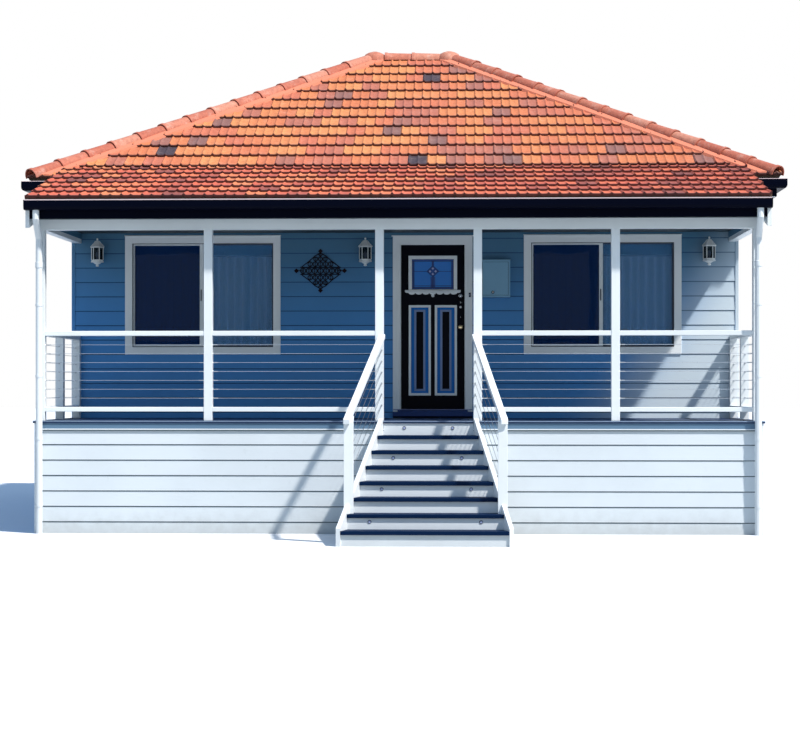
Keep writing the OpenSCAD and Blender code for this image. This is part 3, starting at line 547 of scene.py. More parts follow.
FINISHES = (
    Paint("wall_paint", rgb(0x3B8ACD), 0.5, stretch=BOARD_BRUSH, washes=(EAVES_SHADE, SUNLIGHT_PATCH)),
    # Painted shade: the grooves under the weatherboards' butts.
    Paint("wall_joint", rgb(0x2A5478), 0.7, gloss=0.2, washes=(JOINT_SUNLIGHT,)),
    Paint("base_paint", rgb(0xDCE4E9), 0.5, splash=0.3, stretch=BOARD_BRUSH),
    # Painted shade: the base's grooves and the line under its bead.
    Paint("base_joint", rgb(0x4B5C66), 0.7, gloss=0.2),
    # Painted shade: the band under the deck's overhang.
    Paint("band_shade", rgb(0x62809A), 0.5, gloss=0.3),
    # Painted shade: the verandah's lining, dark as the deep shade under its roof.
    Paint("lining_shade", rgb(0x2C3A42), 0.5, gloss=0.3),
    Paint("sill_paint", rgb(0x1C3C78), 0.4, gloss=0.3),
    # Painted highlight along the edges of the sill's steps.
    Paint("worn_edge", rgb(0x8A90BC), 0.5, gloss=0.3),
    # Painted highlight along the deck's front edge.
    Paint("nosing_edge", rgb(0x8195AC), 0.5, gloss=0.3),
    Paint("trim_paint", rgb(0xEFF4F6), 0.38, soil=0.06),
    Paint("deck_paint", rgb(0x223558), 0.42, soil=0.2, gloss=0.25),
    Paint("step_paint", rgb(0x082040), 0.5, soil=0.03, gloss=0.05),
    Paint("riser_paint", rgb(0xE2E9ED), splash=0.15),
    Paint("ceiling_paint", rgb(0xF1F1EC), 0.6),
    Paint("gutter_paint", NAVY, 0.4, soil=0.008, gloss=0.03),
    # Painted highlight along the gutters' lips.
    Paint("lip_highlight", rgb(0xD8C3C4), 0.35),
    Paint("pipe_paint", rgb(0xE9EEF1), 0.32, soil=0.06),
    Paint("window_metal", rgb(0xE6ECEF), 0.30, soil=0.04, relief=0.0002),
    # Dark metal, and painted shade on the fixed panes' frames and tracks.
    Paint("track_metal", rgb(0x2C3A4C), 0.35, soil=0.06, relief=0.0002),
    Paint("door_paint", rgb(0x020310), 0.3, soil=0.004, gloss=0.05),
    Paint("panel_paint", rgb(0x2478CC), 0.35, soil=0.02, gloss=0.1),
    Paint("bevel_paint", rgb(0x8CA0C8), 0.35, soil=0.02, gloss=0.1),
    Paint("lantern_paint", rgb(0xE8ECEC), 0.35, soil=0.12),
    Paint("cabinet_paint", rgb(0x76A8C6), 0.42, soil=0.06),
    Paint("gap_shadow", rgb(0x1B2230), 0.8, gloss=0.2),
    Paint("mortar", rgb(0xD68062), 0.85, relief=0.004),
    Paint("batten", rgb(0x5A4636), 0.8),
    Metal("wire_steel", rgb(0xC9CED2), 0.22),
    Metal("knob_brass", rgb(0xE3CDA0), 0.2),
    Metal("iron", rgb(0x1B1519), 0.5, patches=0.12),
    Metal("lead", rgb(0x1D2E5A), 0.5),
    Glazing("window_glass", rgb(0xF8FBFF), rgb(0x6CB0EA), veil=0.28),
    # Painted reflection that darkens the sliding sashes' glass.
    Glazing("dark_glass", rgb(0x60749A), rgb(0x1A4A8E), veil=0.35),
    Glazing("light_glass", rgb(0x5E8CC4), rgb(0x1A84E4), veil=0.9),
    Glazing("border_glass", rgb(0x24406E), rgb(0x164C9C), veil=0.9),
    Glazing("bead_glass", rgb(0xDDE6F4), rgb(0xB8C4EC), veil=0.85),
    Glazing("lantern_glass", rgb(0xDDE6EA), rgb(0x1E2A30)),
    Sheer("curtain_cloth", rgb(0xE2EAF2)),
    Timber("floor_boards", rgb(0xB98A5A), rgb(0x7A5230)),
    Terracotta("roof_tile", CLAY, rgb(0x3C0E0A), soot=0.10, bloom=0.10),
    Terracotta("verandah_tile", RED_CLAY, rgb(0x330A0A), soot=0.16, bloom=0.08),
    Terracotta("cap_tile", SALMON, rgb(0xB4604C), lip_shadow_share=0.5, soot=0.10, bloom=0.3),
)


@cache
def material(name: str) -> bpy.types.Material:
    """The material of a finish, which is built when it is first asked for."""
    return next(finish for finish in FINISHES if finish.name == name).build()


class Wall(Enum):
    """The four outer walls, each with its outward direction."""

    FRONT = (0, -1)
    BACK = (0, 1)
    LEFT = (-1, 0)
    RIGHT = (1, 0)

    @property
    def matrix(self) -> Matrix:
        """The wall's own axes: x along it to the right seen from outside, y inward, z up."""
        x, y = self.value
        turn = Matrix(((-y, -x, 0), (x, -y, 0), (0, 0, 1))).to_4x4()
        return Matrix.Translation(self.foot) @ turn

    @property
    def foot(self) -> Vector:
        """The point of the wall's outer face, on the ground, at its middle."""
        low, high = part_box("house_floor")
        x, y = self.value
        middle = (low + high) / 2
        reach = (high - low) / 2
        return Vector((middle.x + x * reach.x if x else 0.0, middle.y + y * reach.y, 0.0))

    @property
    def half(self) -> float:
        """Half of the wall's length."""
        low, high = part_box("house_floor")
        return (high.y - low.y if self.value[0] else high.x - low.x) / 2

    def flat(self, low: Vector, high: Vector) -> Box:
        """Turns a box into the wall's own axes.

        Args:
            low: Its low corner in the house's axes.
            high: Its high corner there.

        Returns:
            Its low and high corners in the wall's.
        """
        turn = self.matrix.inverted()
        a, b = turn @ low, turn @ high
        return Vector(map(min, a, b)), Vector(map(max, a, b))


def solids(node: str) -> list[Box]:
    """Finds the boxes of a CAD node's separate solids.

    Args:
        node: The node's name.

    Returns:
        Low and high corners, sorted along x, then y, then z.
    """
    mesh = bmesh.new()
    mesh.from_mesh(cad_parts[node].data)
    bmesh.ops.remove_doubles(mesh, verts=mesh.verts, dist=WELD)
    left, found = set(mesh.verts), []
    while left:
        heap = [left.pop()]
        group = []
        while heap:
            vert = heap.pop()
            group.append(vert.co.copy())
            near = {edge.other_vert(vert) for edge in vert.link_edges} & left
            left -= near
            heap.extend(near)
        found.append((Vector(map(min, *group)), Vector(map(max, *group))))
    mesh.free()
    return sorted(found, key=lambda box: tuple(round(c, 3) for c in box[0]))


def top_z(node: str, axis: str, value: float) -> float:
    """The highest point of a CAD node where one coordinate has a value."""
    points = [v.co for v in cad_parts[node].data.vertices]
    return max(p.z for p in points if abs(getattr(p, axis) - value) < NEAR)


def circle(sides: int, start: float = 0.5) -> list[Span]:
    """Spaces points evenly round a circle of radius 1, the first of them start steps on."""
    angles = [math.tau * (k + start) / sides for k in range(sides)]
    return [(math.cos(a), math.sin(a)) for a in angles]


def lattice(rows: int, columns: int, around: bool = False, closed: bool = False
            ) -> list[tuple[int, ...]]:
    """Joins rows of points into four-cornered faces.

    Args:
        rows: Number of rows.
        columns: Points in a row.
        around: Whether a row's last point joins its first.
        closed: Whether the last row joins the first.

    Returns:
        Corner numbers of each face.
    """
    faces = []
    for r in range(rows if closed else rows - 1):
        this, after = r * columns, (r + 1) % rows * columns
        for k in range(columns if around else columns - 1):
            j = (k + 1) % columns
            faces.append((this + k, this + j, after + j, after + k))
    return faces


def rectangle(opening: Rectangle, inset: float = 0.0) -> list[Span]:
    """Finds the corners of a rectangle.

    Args:
        opening: Its x0, x1, z0, z1.
        inset: How far inside its edges they lie.

    Returns:
        Its corners, from the lower left round by the lower right.
    """
    x0, x1, z0, z1 = opening
    a, b, c, d = x0 + inset, x1 - inset, z0 + inset, z1 - inset
    return [(a, c), (b, c), (b, d), (a, d)]


def end_faces(points: int, sides: int) -> list[tuple[int, ...]]:
    """The faces that close both ends of a round bar's points."""
    return [tuple(range(sides))[::-1], tuple(range(points - sides, points))]


def rod_rings(path: Sequence[Vector], radii: Sequence[float], sides: int) -> list[Vector]:
    """Lays a ring of points round each point of a path.

    Args:
        path: The centre line.
        radii: A radius for each of its points.
        sides: Points in a ring.

    Returns:
        The rings' points, ring after ring.
    """
    points = []
    side = Vector((0, 0, 1))
    for i, (centre, radius) in enumerate(zip(path, radii)):
        ahead = (path[min(i + 1, len(path) - 1)] - path[max(i - 1, 0)]).normalized()
        if abs(ahead.dot(side)) > 0.95:
            side = Vector((0, 1, 0)) if abs(ahead.y) < 0.9 else Vector((1, 0, 0))
        side = (side - ahead * side.dot(ahead)).normalized()
        across = ahead.cross(side)
        points += [centre + (side * c + across * s) * radius for c, s in circle(sides)]
    return points


class Form:
    """Gathers the faces of one piece, in a local frame that can be moved between additions."""

    def __init__(self, name: str, *finishes: str) -> None:
        """Starts empty.

        Args:
            name: The piece's name.
            finishes: The finishes that its faces can take.
        """
        self.name = name
        self.finishes = finishes
        self.points: list[tuple[float, float, float]] = []
        self.faces: list[tuple[int, ...]] = []
        self.slots: list[int] = []
        self.marks: dict[str, list[float]] = {}
        self.at = Matrix.Identity(4)

    def seat(self, x: float = 0.0, y: float = 0.0, z: float = 0.0) -> None:
        """Moves the local frame to a point."""
        self.at = Matrix.Translation((x, y, z))

    def add(self, points: Iterable[Sequence[float]], faces: Iterable[Sequence[int]],
            finish: str = "", **marks: "float | Sequence[float]") -> None:
        """Adds faces.

        Args:
            points: Corner points in the local frame.
            faces: Corner numbers of each face.
            finish: One of the piece's finishes, or the first.
            marks: Values to store on the points, one for all or one each.
        """
        start = len(self.points)
        new = [tuple(self.at @ Vector(p)) for p in points]
        self.points.extend(new)
        added = [tuple(start + i for i in face) for face in faces]
        self.faces.extend(added)
        self.slots.extend([self.finishes.index(finish) if finish else 0] * len(added))
        for key in {**self.marks, **marks}:
            kept = self.marks.setdefault(key, [])
            kept.extend([0.0] * (start - len(kept)))
            value = marks.get(key, 0.0)
            kept.extend([value] * len(new) if isinstance(value, (int, float)) else value)

    def box(self, one: Sequence[float], other: Sequence[float], finish: str = "") -> None:
        """Adds a box between two opposite corners."""
        (x0, x1), (y0, y1), (z0, z1) = (sorted(pair) for pair in zip(one, other))
        self.prism([(x0, y0), (x1, y0), (x1, y1), (x0, y1)], z0, z1, finish)

    def prism(self, outline: Sequence[Sequence[float]], start: float, end: float,
              finish: str = "", axis: str = "z") -> None:
        """Pulls an outline along an axis.

        Args:
            outline: Points in the other two axes, which are (y, z), (x, z) or (x, y).
            start: Where it starts along the axis.
            end: Where it ends.
            finish: Its finish.
            axis: The axis.
        """
        place = {"x": lambda p, t: (t, p[0], p[1]), "y": lambda p, t: (p[0], t, p[1]),
                 "z": lambda p, t: (p[0], p[1], t)}[axis]
        n = len(outline)
        points = [place(p, t) for t in (start, end) for p in outline]
        ends = [tuple(range(n))[::-1], tuple(range(n, 2 * n))]
        self.add(points, ends + lattice(2, n, around=True), finish)

    def plates(self, places: Iterable[Rectangle], y: Span, finish: str = "") -> None:
        """Adds flat plates that face the front, each by its x0, z0, x1, z1."""
        for x0, z0, x1, z1 in places:
            self.box((x0, y[0], z0), (x1, y[1], z1), finish)

    def ring(self, opening: Rectangle, bar: float, y: Span, finish: str) -> None:
        """Adds four mitred bars round an opening.

        Args:
            opening: Outer x0, x1, z0, z1.
            bar: Width of a bar.
            y: Its front and back.
            finish: Its finish.
        """
        outer, inner = rectangle(opening), rectangle(opening, bar)
        for i, j in CORNER_PAIRS:
            self.prism([outer[i], outer[j], inner[j], inner[i]], *y, finish, axis="y")

    def diamond(self, x: float, z: float, reach: float, y: Span, finish: str = "") -> list[Span]:
        """Adds a flat diamond that faces the front.

        Args:
            x: Its middle.
            z: Its middle's height.
            reach: Half of its width.
            y: Its front and back.
            finish: Its finish.

        Returns:
            Its corners, from the left one round by the lowest.
        """
        corners = [(x - reach, z), (x, z - reach), (x + reach, z), (x, z + reach)]
        self.prism(corners, *y, finish, axis="y")
        return corners

    def bars(self, lines: Iterable[Sequence[Span]], y: float, radius: float, sides: int,
             finish: str = "") -> None:
        """Adds round bars that keep one y, each by the x and z of its points."""
        for ends in lines:
            self.rod([(x, y, z) for x, z in ends], radius, sides, finish)

    def rod(self, path: Sequence[Sequence[float]], radius: "float | Sequence[float]",
            sides: int = 8, finish: str = "", closed: bool = False) -> None:
        """Adds a round bar along a path.

        Args:
            path: The centre line's points.
            radius: Its radius, or one for each point.
            sides: Sides of its section.
            finish: Its finish.
            closed: Whether its end meets its start.
        """
        line = [Vector(p) for p in path]
        radii = [radius] * len(line) if isinstance(radius, (int, float)) else list(radius)
        points = rod_rings(line, radii, sides)
        faces = lattice(len(line), sides, around=True, closed=closed)
        if not closed:
            faces += end_faces(len(points), sides)
        self.add(points, faces, finish)

    def turned(self, profile: Sequence[Span], sides: int = 16, finish: str = "",
               axis: str = "z", **marks: float) -> None:
        """Turns a profile about a local axis through the origin.

        Args:
            profile: Its (radius, height) points.
            sides: Sides of its section.
            finish: Its finish.
            axis: The axis; along y its foot is at the wall and it stands out to the front.
            marks: Values to store on the points.
        """
        place = {"y": lambda a, b, h: (b, -h, a), "z": lambda a, b, h: (a, b, h)}[axis]
        points = [place(radius * c, radius * s, height)
                  for radius, height in profile for c, s in circle(sides)]
        faces = lattice(len(profile), sides, around=True) + end_faces(len(points), sides)
        self.add(points, faces, finish, **marks)

    def stud(self, at: Sequence[float], profile: Sequence[Span], sides: int,
             finish: str = "") -> None:
        """Turns a profile that stands out to the front, and leaves the local frame there."""
        self.seat(*at)
        self.turned(profile, sides, finish, axis="y")

    def piece(self, body: str = HOUSE, slot: str = "", replaces: Sequence[str] = (),
              bevel: float = 0.0, smooth: bool = False, closed: bool = True) -> bpy.types.Object:
        """Makes the object and seats it on its body.

        Args:
            body: The CAD body that carries it.
            slot: Not used.
            replaces: CAD nodes that it stands for.
            bevel: Width of its rounded edges in metres.
            smooth: Whether its faces are shaded smooth.
            closed: Whether its shells are closed, so that their faces can be turned outward.

        Returns:
            The object.
        """
        mesh = bpy.data.meshes.new(self.name)
        mesh.from_pydata(self.points, [], self.faces)
        mesh.polygons.foreach_set("material_index", self.slots)
        for key, values in self.marks.items():
            values.extend([0.0] * (len(self.points) - len(values)))
            mesh.attributes.new(key, "FLOAT", "POINT").data.foreach_set("value", values)
        for finish in self.finishes:
            mesh.materials.append(material(finish))
        if closed:
            shell = bmesh.new()
            shell.from_mesh(mesh)
            bmesh.ops.recalc_face_normals(shell, faces=shell.faces)
            shell.to_mesh(mesh)
            shell.free()
        made = bpy.data.objects.new(self.name, mesh)
        bpy.context.scene.collection.objects.link(made)
        if smooth:
            mesh.polygons.foreach_set("use_smooth", [True] * len(mesh.polygons))
            mesh.set_sharp_from_angle(angle=math.radians(SMOOTH_UNDER))
        if bevel:
            soften(made, bevel)
        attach(made, body)
        slot or self.finishes[0]
        if replaces:
            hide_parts(*replaces)
        log.info("%s: %d faces on %s", self.name, len(self.faces), body)
        return made


def soften(thing: bpy.types.Object, width: float) -> None:
    """Rounds a piece's sharp edges.

    Args:
        thing: The piece.
        width: Width of the rounded edge in metres.
    """
    weld = thing.modifiers.new("weld", "WELD")
    weld.merge_threshold = WELD
    bevel = thing.modifiers.new("rounded edges", "BEVEL")
    bevel.width = width
    bevel.segments = 2
    bevel.limit_method = "ANGLE"
    bevel.angle_limit = math.radians(BEVEL_OVER)
    bevel.use_clamp_overlap = True
    bevel.harden_normals = False


@dataclass(frozen=True)
class Dressing:
    """What CAD nodes that stay in the picture get.

    Attributes:
        finish: Their finish.
        nodes: Their names.
        edge: Width of their rounded edges in metres.
    """

    finish: str
    nodes: tuple[str, ...]
    edge: float = 0.0

    def dress(self) -> None:
        """Gives the nodes their finish and their rounded edges."""
        for node in self.nodes:
            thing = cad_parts[node]
            thing.data.materials.clear()
            thing.data.materials.append(material(self.finish))
            if self.edge:
                soften(thing, self.edge)
            log.info("%s: %s", node, self.finish)


def cut_faces(points: np.ndarray, faces: Sequence[Sequence[int]], planes: Sequence[Triple]
              ) -> tuple[list[tuple[float, ...]], list[tuple[int, ...]]]:
    """Cuts faces back to the part of the plan that every plane keeps.

    Args:
        points: Rows of x, y, z and further values that are carried along.
        faces: Corner numbers of each face.
        planes: (a, b, c) of each upright plane, which keeps a*x + b*y + c >= 0.

    Returns:
        The points and faces that are left.
    """
    kept: list[tuple[float, ...]] = []
    numbers: dict[tuple[float, ...], int] = {}
    left = []
    for face in faces:
        ring = [points[i] for i in face]
        for a, b, c in planes:
            depth = [a * p[0] + b * p[1] + c for p in ring]
            cut = []
            for i, p in enumerate(ring):
                q, dp, dq = ring[i - 1], depth[i], depth[i - 1]
                if (dp >= 0) != (dq >= 0):
                    cut.append(q + (p - q) * (dq / (dq - dp)))
                if dp >= 0:
                    cut.append(p)
            ring = cut
        corners = []
        for p in ring:
            key = tuple(round(float(v), 5) for v in p)
            if key not in numbers:
                numbers[key] = len(kept)
                kept.append(tuple(float(v) for v in p))
            if numbers[key] not in corners:
                corners.append(numbers[key])
        if len(corners) > 2:
            left.append(tuple(corners))
    return kept, left


@dataclass
class Cladding:
    """Weatherboards on every wall, their corner stops and the boards of the base."""

    exposure: float = 0.177
    base_exposure: float = 0.1734
    base_drop: float = 0.09
    butt: float = 0.013
    tip: float = 0.004
    sunk: float = 0.002
    groove: float = 0.011
    groove_proud: float = 0.0016
    stop: float = 0.042
    stop_proud: float = 0.019
    band: float = 0.062
    bead: float = 0.012
    lap: float = 0.004
    stair_share: float = 1.6
    panel_steps: int = 14

    def __post_init__(self) -> None:
        """Reads the heights off the frame."""
        self.deck_low, self.deck_top = (corner.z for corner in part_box("verandah_deck"))
        self.floor_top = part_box("house_floor")[1].z
        self.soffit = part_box("eaves_soffit")[0].z
        self.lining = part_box("verandah_lining")[0].z
        self.base_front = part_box("base_front_wall")[0].y

    def lay(self, form: Form, x: Span, z: Span, holes: Sequence[Rectangle] = (),
            base: bool = False) -> None:
        """Lays courses of boards over a flat face.

        Args:
            form: The piece, with its frame on the face.
            x: Where the boards start and end.
            z: Lowest and highest point covered.
            holes: Openings as (x0, x1, z0, z1).
            base: Whether the courses are the base's.
        """
        first, exposure = self.floor_top, self.exposure
        if base:
            first, exposure = self.deck_top - self.base_drop, self.base_exposure
        start = math.floor((z[0] - first) / exposure)
        for i in range(start, math.ceil((z[1] - first) / exposure)):
            low = first + i * exposure
            edges = {max(low, z[0]), min(low + exposure, z[1])}
            edges |= {e for hole in holes for e in hole[2:] if min(edges) < e < max(edges)}
            levels = sorted(edges)
            for z0, z1 in zip(levels, levels[1:]):
                if z1 - z0 < SLIVER:
                    continue
                proud = [self.tip + (self.butt - self.tip) * (1 - (level - low) / exposure)
                         for level in (z0, z1)]
                outline = [(-proud[0], z0), (-proud[1], z1), (self.sunk, z1), (self.sunk, z0)]
                for x0, x1 in self.clear(x, [h[:2] for h in holes if h[2] < z1 and h[3] > z0]):
                    form.prism(outline, x0, x1, axis="x")
                    # The second finish paints shade in a groove under each board's butt.
                    if len(form.finishes) > 1 and z0 == low and low - self.groove > z[0]:
                        form.box((x0, -self.tip - self.groove_proud, low - self.groove),
                                 (x1, 0, low + 0.001), form.finishes[1])

    def clear(self, x: Span, holes: Iterable[Span]) -> list[Span]:
        """Finds what no hole takes of a stretch.

        Args:
            x: The stretch.
            holes: Start and end of each hole.

        Returns:
            Start and end of each part that is left.
        """
        stretches, at = [], x[0]
        for x0, x1 in sorted(holes):
            if x0 > at:
                stretches.append((at, min(x0, x[1])))
            at = max(at, x1)
        if at < x[1]:
            stretches.append((at, x[1]))
        return stretches

    def openings(self, wall: Wall, *nodes: str) -> list[Rectangle]:
        """Finds where CAD nodes lie on a wall.

        Args:
            wall: The wall.
            nodes: The nodes' names.

        Returns:
            Their x0, x1, z0, z1 in the wall's own axes.
        """
        found = []
        for low, high in (box for node in nodes for box in solids(node)):
            a, b = wall.flat(low, high)
            if min(abs(a.y), abs(b.y)) < 0.03:
                found.append((a.x + self.lap, b.x - self.lap, low.z + self.lap, high.z - self.lap))
        return found

    def board(self, wall: Wall, x: Span, z: Span, holes: Sequence[Rectangle]) -> None:
        """Boards one wall as a piece of its own.

        Args:
            wall: The wall.
            x: Where the boards start and end.
            z: Lowest and highest point covered.
            holes: Openings as (x0, x1, z0, z1).
        """
        form = Form(f"{wall.name.lower()}_boards", "wall_paint", "wall_joint")
        form.at = wall.matrix
        self.lay(form, x, z, holes)
        form.piece()

    def walls(self) -> None:
        """Boards the front over the deck and the other walls from the ground to the soffit."""
        half = Wall.FRONT.half
        sill_low, sill_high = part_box("door_sill")
        sill = (sill_low.x, sill_high.x, self.deck_top - 0.01, sill_high.z)
        holes = [*self.openings(Wall.FRONT, "window_casings", "door_casing"), sill]
        self.board(Wall.FRONT, (-half, half), (self.deck_top, self.lining), holes)
        for wall in (Wall.LEFT, Wall.RIGHT, Wall.BACK):
            x = [-wall.half, wall.half]
            holes = self.openings(wall, "window_casings")
            if wall is not Wall.BACK:
                reach = (wall.matrix.inverted() @ Vector((0, self.base_front, 0))).x
                deck = sorted((reach, math.copysign(wall.half, reach)))
                holes.append((*deck, self.deck_low, self.soffit))
                x = sorted((*x, reach))
            self.board(wall, (x[0], x[-1]), (0.0, self.soffit), holes)

    def base(self) -> None:
        """Boards the base under the front of the verandah, with the band under the deck in painted
        shade and a line of painted shade under its bead.
        """
        form = Form("base_boards", "base_paint", "base_joint", "band_shade", "trim_paint")
        form.seat(y=self.base_front)
        x = (-Wall.FRONT.half, Wall.FRONT.half)
        stair_low, stair_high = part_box("stair_risers")
        middle = (stair_low.x + stair_high.x) / 2
        half = (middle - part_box("stair_wires_set")[0].x) / self.stair_share
        hole = (middle - half, middle + half, 0.0, self.deck_top)
        top = self.deck_low - self.band
        self.lay(form, x, (0.0, top), [hole], base=True)
        for x0, x1 in self.clear(x, [hole[:2]]):
            # The band takes painted shade, and so does the strip under the bead.
            form.box((x0, -0.020, top), (x1, 0, self.deck_low), "band_shade")
            form.box((x0, -0.024, top - self.bead), (x1, 0, top), "trim_paint")
            form.box((x0, -0.022, top - 2 * self.bead), (x1, 0, top - self.bead), "base_joint")
        form.piece(slot="wall_paint")

    def stops(self) -> None:
        """Stands a square stop at each outer corner."""
        form = Form("corner_stops", "trim_paint", "wall_paint")
        low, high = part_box("house_floor")
        inside, out = self.stop - self.stop_proud, self.stop_proud
        for x, sx in ((low.x, -1), (high.x, 1)):
            for y, sy, z0, z1 in ((low.y, -1, self.deck_top, self.lining),
                                  (high.y, 1, 0.0, self.soffit),
                                  (self.base_front, -1, 0.0, self.deck_low)):
                form.box((x + sx * out, y + sy * out, z0), (x - sx * inside, y - sy * inside, z1),
                         "wall_paint" if y == low.y else "")
        form.piece(bevel=0.003)

    def side_panels(self) -> None:
        """Boards the panels between the side beams and the verandah roof."""
        form = Form("side_panel_boards", "wall_paint")
        low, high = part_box("verandah_side_panels")
        corners = [v.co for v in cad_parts["verandah_side_panels"].data.vertices]
        front = top_z("verandah_side_panels", "y", low.y)
        bend = min((c for c in corners if low.y + 0.01 < c.y < high.y - 0.01), key=lambda c: c.z)
        slope = (bend.z - front) / (bend.y - low.y)
        for wall in (Wall.LEFT, Wall.RIGHT):
            turn = form.at = wall.matrix
            a, b = (corner.x for corner in wall.flat(low, high))
            step = (b - a) / self.panel_steps
            for i in range(self.panel_steps):
                x = (a + step * i, a + step * (i + 1))
                y = min((turn @ Vector((end, 0, 0))).y for end in x)
                top = min(front + (y - low.y) * slope, high.z) - 0.002
                self.lay(form, x, (low.z, top))
        form.piece()

    def build(self) -> None:
        """Boards all four walls, the base and the panels beside the verandah roof."""
        self.walls()
        self.base()
        self.stops()
        self.side_panels()


@dataclass
class Slope:
    """One plane of a roof, seen from outside.

    Attributes:
        eave: The middle of its lower edge.
        along: Direction of the lower edge, to the right.
        rise: Height gained for each metre towards the house.
        run: How far it goes in plan.
        half: Half of its lower edge.
    """

    eave: Vector
    along: Vector
    rise: float
    run: float
    half: float

    @property
    def matrix(self) -> Matrix:
        """Its own axes: x along the eave, y up the slope, z outward."""
        inward = Vector((0, 0, 1)).cross(self.along)
        up = (inward + Vector((0, 0, self.rise))).normalized()
        out = self.along.cross(up)
        turn = Matrix((self.along, up, out)).transposed().to_4x4()
        return Matrix.Translation(self.eave) @ turn

    @property
    def length(self) -> float:
        """Its length up the slope."""
        return self.run * math.hypot(1, self.rise)


@dataclass
class Tiling:
    """Interlocking clay tiles with a side roll and a middle rib, laid in broken bond.

    Attributes:
        lift: Height of a tile's lower end over the roof, and tail, of its upper end.
        rolls: Place across the tile and height of its roll and its rib.
        dark: Place of the few nearly black tiles in the clay's range.
        palest: The last place that the other tiles take.
        right_darkening: How much the tiles' places fall, and so darken, towards the right.
        across: Places of the points across a tile.
    """

    width: float = 0.232
    courses: int = 13
    lap: float = 0.045
    lip: float = 0.034
    lift: float = 0.040
    tail: float = 0.010
    over: float = 0.007
    rolls: Profile = ((0.075, 0.021), (0.53, 0.015))
    roll_half: float = 0.055
    skirt: float = 0.014
    jitter: float = 0.0016
    dark_share: float = 0.012
    dark: float = 0.985
    palest: float = 0.84
    right_darkening: float = 0.45
    across: tuple[float, ...] = (0.0, 0.03, 0.07, 0.11, 0.15, 0.20, 0.30, 0.41, 0.47, 0.53,
                                 0.59, 0.65, 0.76, 0.89, 1.0)
    rng: random.Random = field(default_factory=lambda: random.Random(SEED))

    def profile(self, t: float) -> float:
        """Height of a tile's surface over its pan, t going from 0 to 1 across it."""
        return sum(math.exp(-(((t - at) / self.roll_half) ** 2)) * up for at, up in self.rolls)

    def tile(self, exposure: float) -> tuple[np.ndarray, list[tuple[int, ...]]]:
        """Shapes one tile.

        Args:
            exposure: Height of a course along the slope.

        Returns:
            Rows of x, y, z and edge mark, and the faces.
        """
        length = exposure + self.lap
        # The last number of each row marks painted shadow: full on the lip, fading up from the lower
        # edge; the side skirt gets it too.
        rows = ((0.0, -self.lip, 1.0), (0.0, -0.005, 1.0), (0.012, 0.0, 0.85), (0.034, 0.0, 0.15),
                (length * 0.5, 0.0, 0.0), (length, 0.0, 0.0))
        points = []
        for y, drop, mark in rows:
            base = self.lift + (self.tail - self.lift) * y / length
            fade = 1.0 if y < length * 0.9 else 0.7
            for t in self.across:
                points.append((t * self.width, y, base + self.profile(t) * fade + drop, mark))
        n = len(self.across)
        faces = lattice(len(rows), n)
        start = len(points)
        for r in range(1, len(rows)):
            x, y, z, _ = points[r * n]
            points.append((x, y, z - self.skirt, 0.8))
        for r in range(1, len(rows) - 1):
            faces.append((r * n, (r + 1) * n, start + r, start + r - 1))
        return np.array(points), faces

    def lay(self, form: Form, slope: Slope, courses: range, exposure: float,
            planes: Sequence[Triple]) -> None:
        """Lays courses of tiles on a slope and cuts them to its outline.

        Args:
            form: The piece.
            slope: The plane that carries the tiles.
            courses: The courses that are laid, counted from the eave.
            exposure: Height of a course.
            planes: Upright cutting planes, as cut_faces takes them.
        """
        tile, faces = self.tile(exposure)
        turn = np.array(slope.matrix)
        count = math.ceil((slope.half + self.width) / self.width)
        for i in courses:
            shift = (i % 2) * 0.5 * self.width - 0.25 * self.width
            for k in range(-count, count + 1):
                tone = self.rng.random() ** 0.8 * self.palest
                # The tiles grow darker towards the right.
                tone *= 1 - self.right_darkening * min(max(k * self.width / slope.half, 0.0), 1.0)
                if self.rng.random() < self.dark_share:
                    tone = self.dark
                nudge = [self.rng.uniform(-1, 1) * self.jitter for _ in range(3)]
                local = tile.copy()
                local[:, 0] += k * self.width + shift + nudge[0]
                local[:, 1] += i * exposure - self.over + nudge[1]
                local[:, 2] += nudge[2] * (1 - tile[:, 1] / (exposure + self.lap))
                flat = np.c_[local[:, :3], np.ones(len(local))] @ turn.T
                placed = np.c_[flat[:, :3], local[:, 3]]
                depth = [placed[:, 0] * a + placed[:, 1] * b + c for a, b, c in planes]
                if any(d.max() < 0 for d in depth):
                    continue
                kept, left = placed, faces
                if any(d.min() < 0 for d in depth):
                    kept, left = cut_faces(placed, faces, planes)
                form.add([p[:3] for p in kept], left, tone=tone, edge=[p[3] for p in kept])


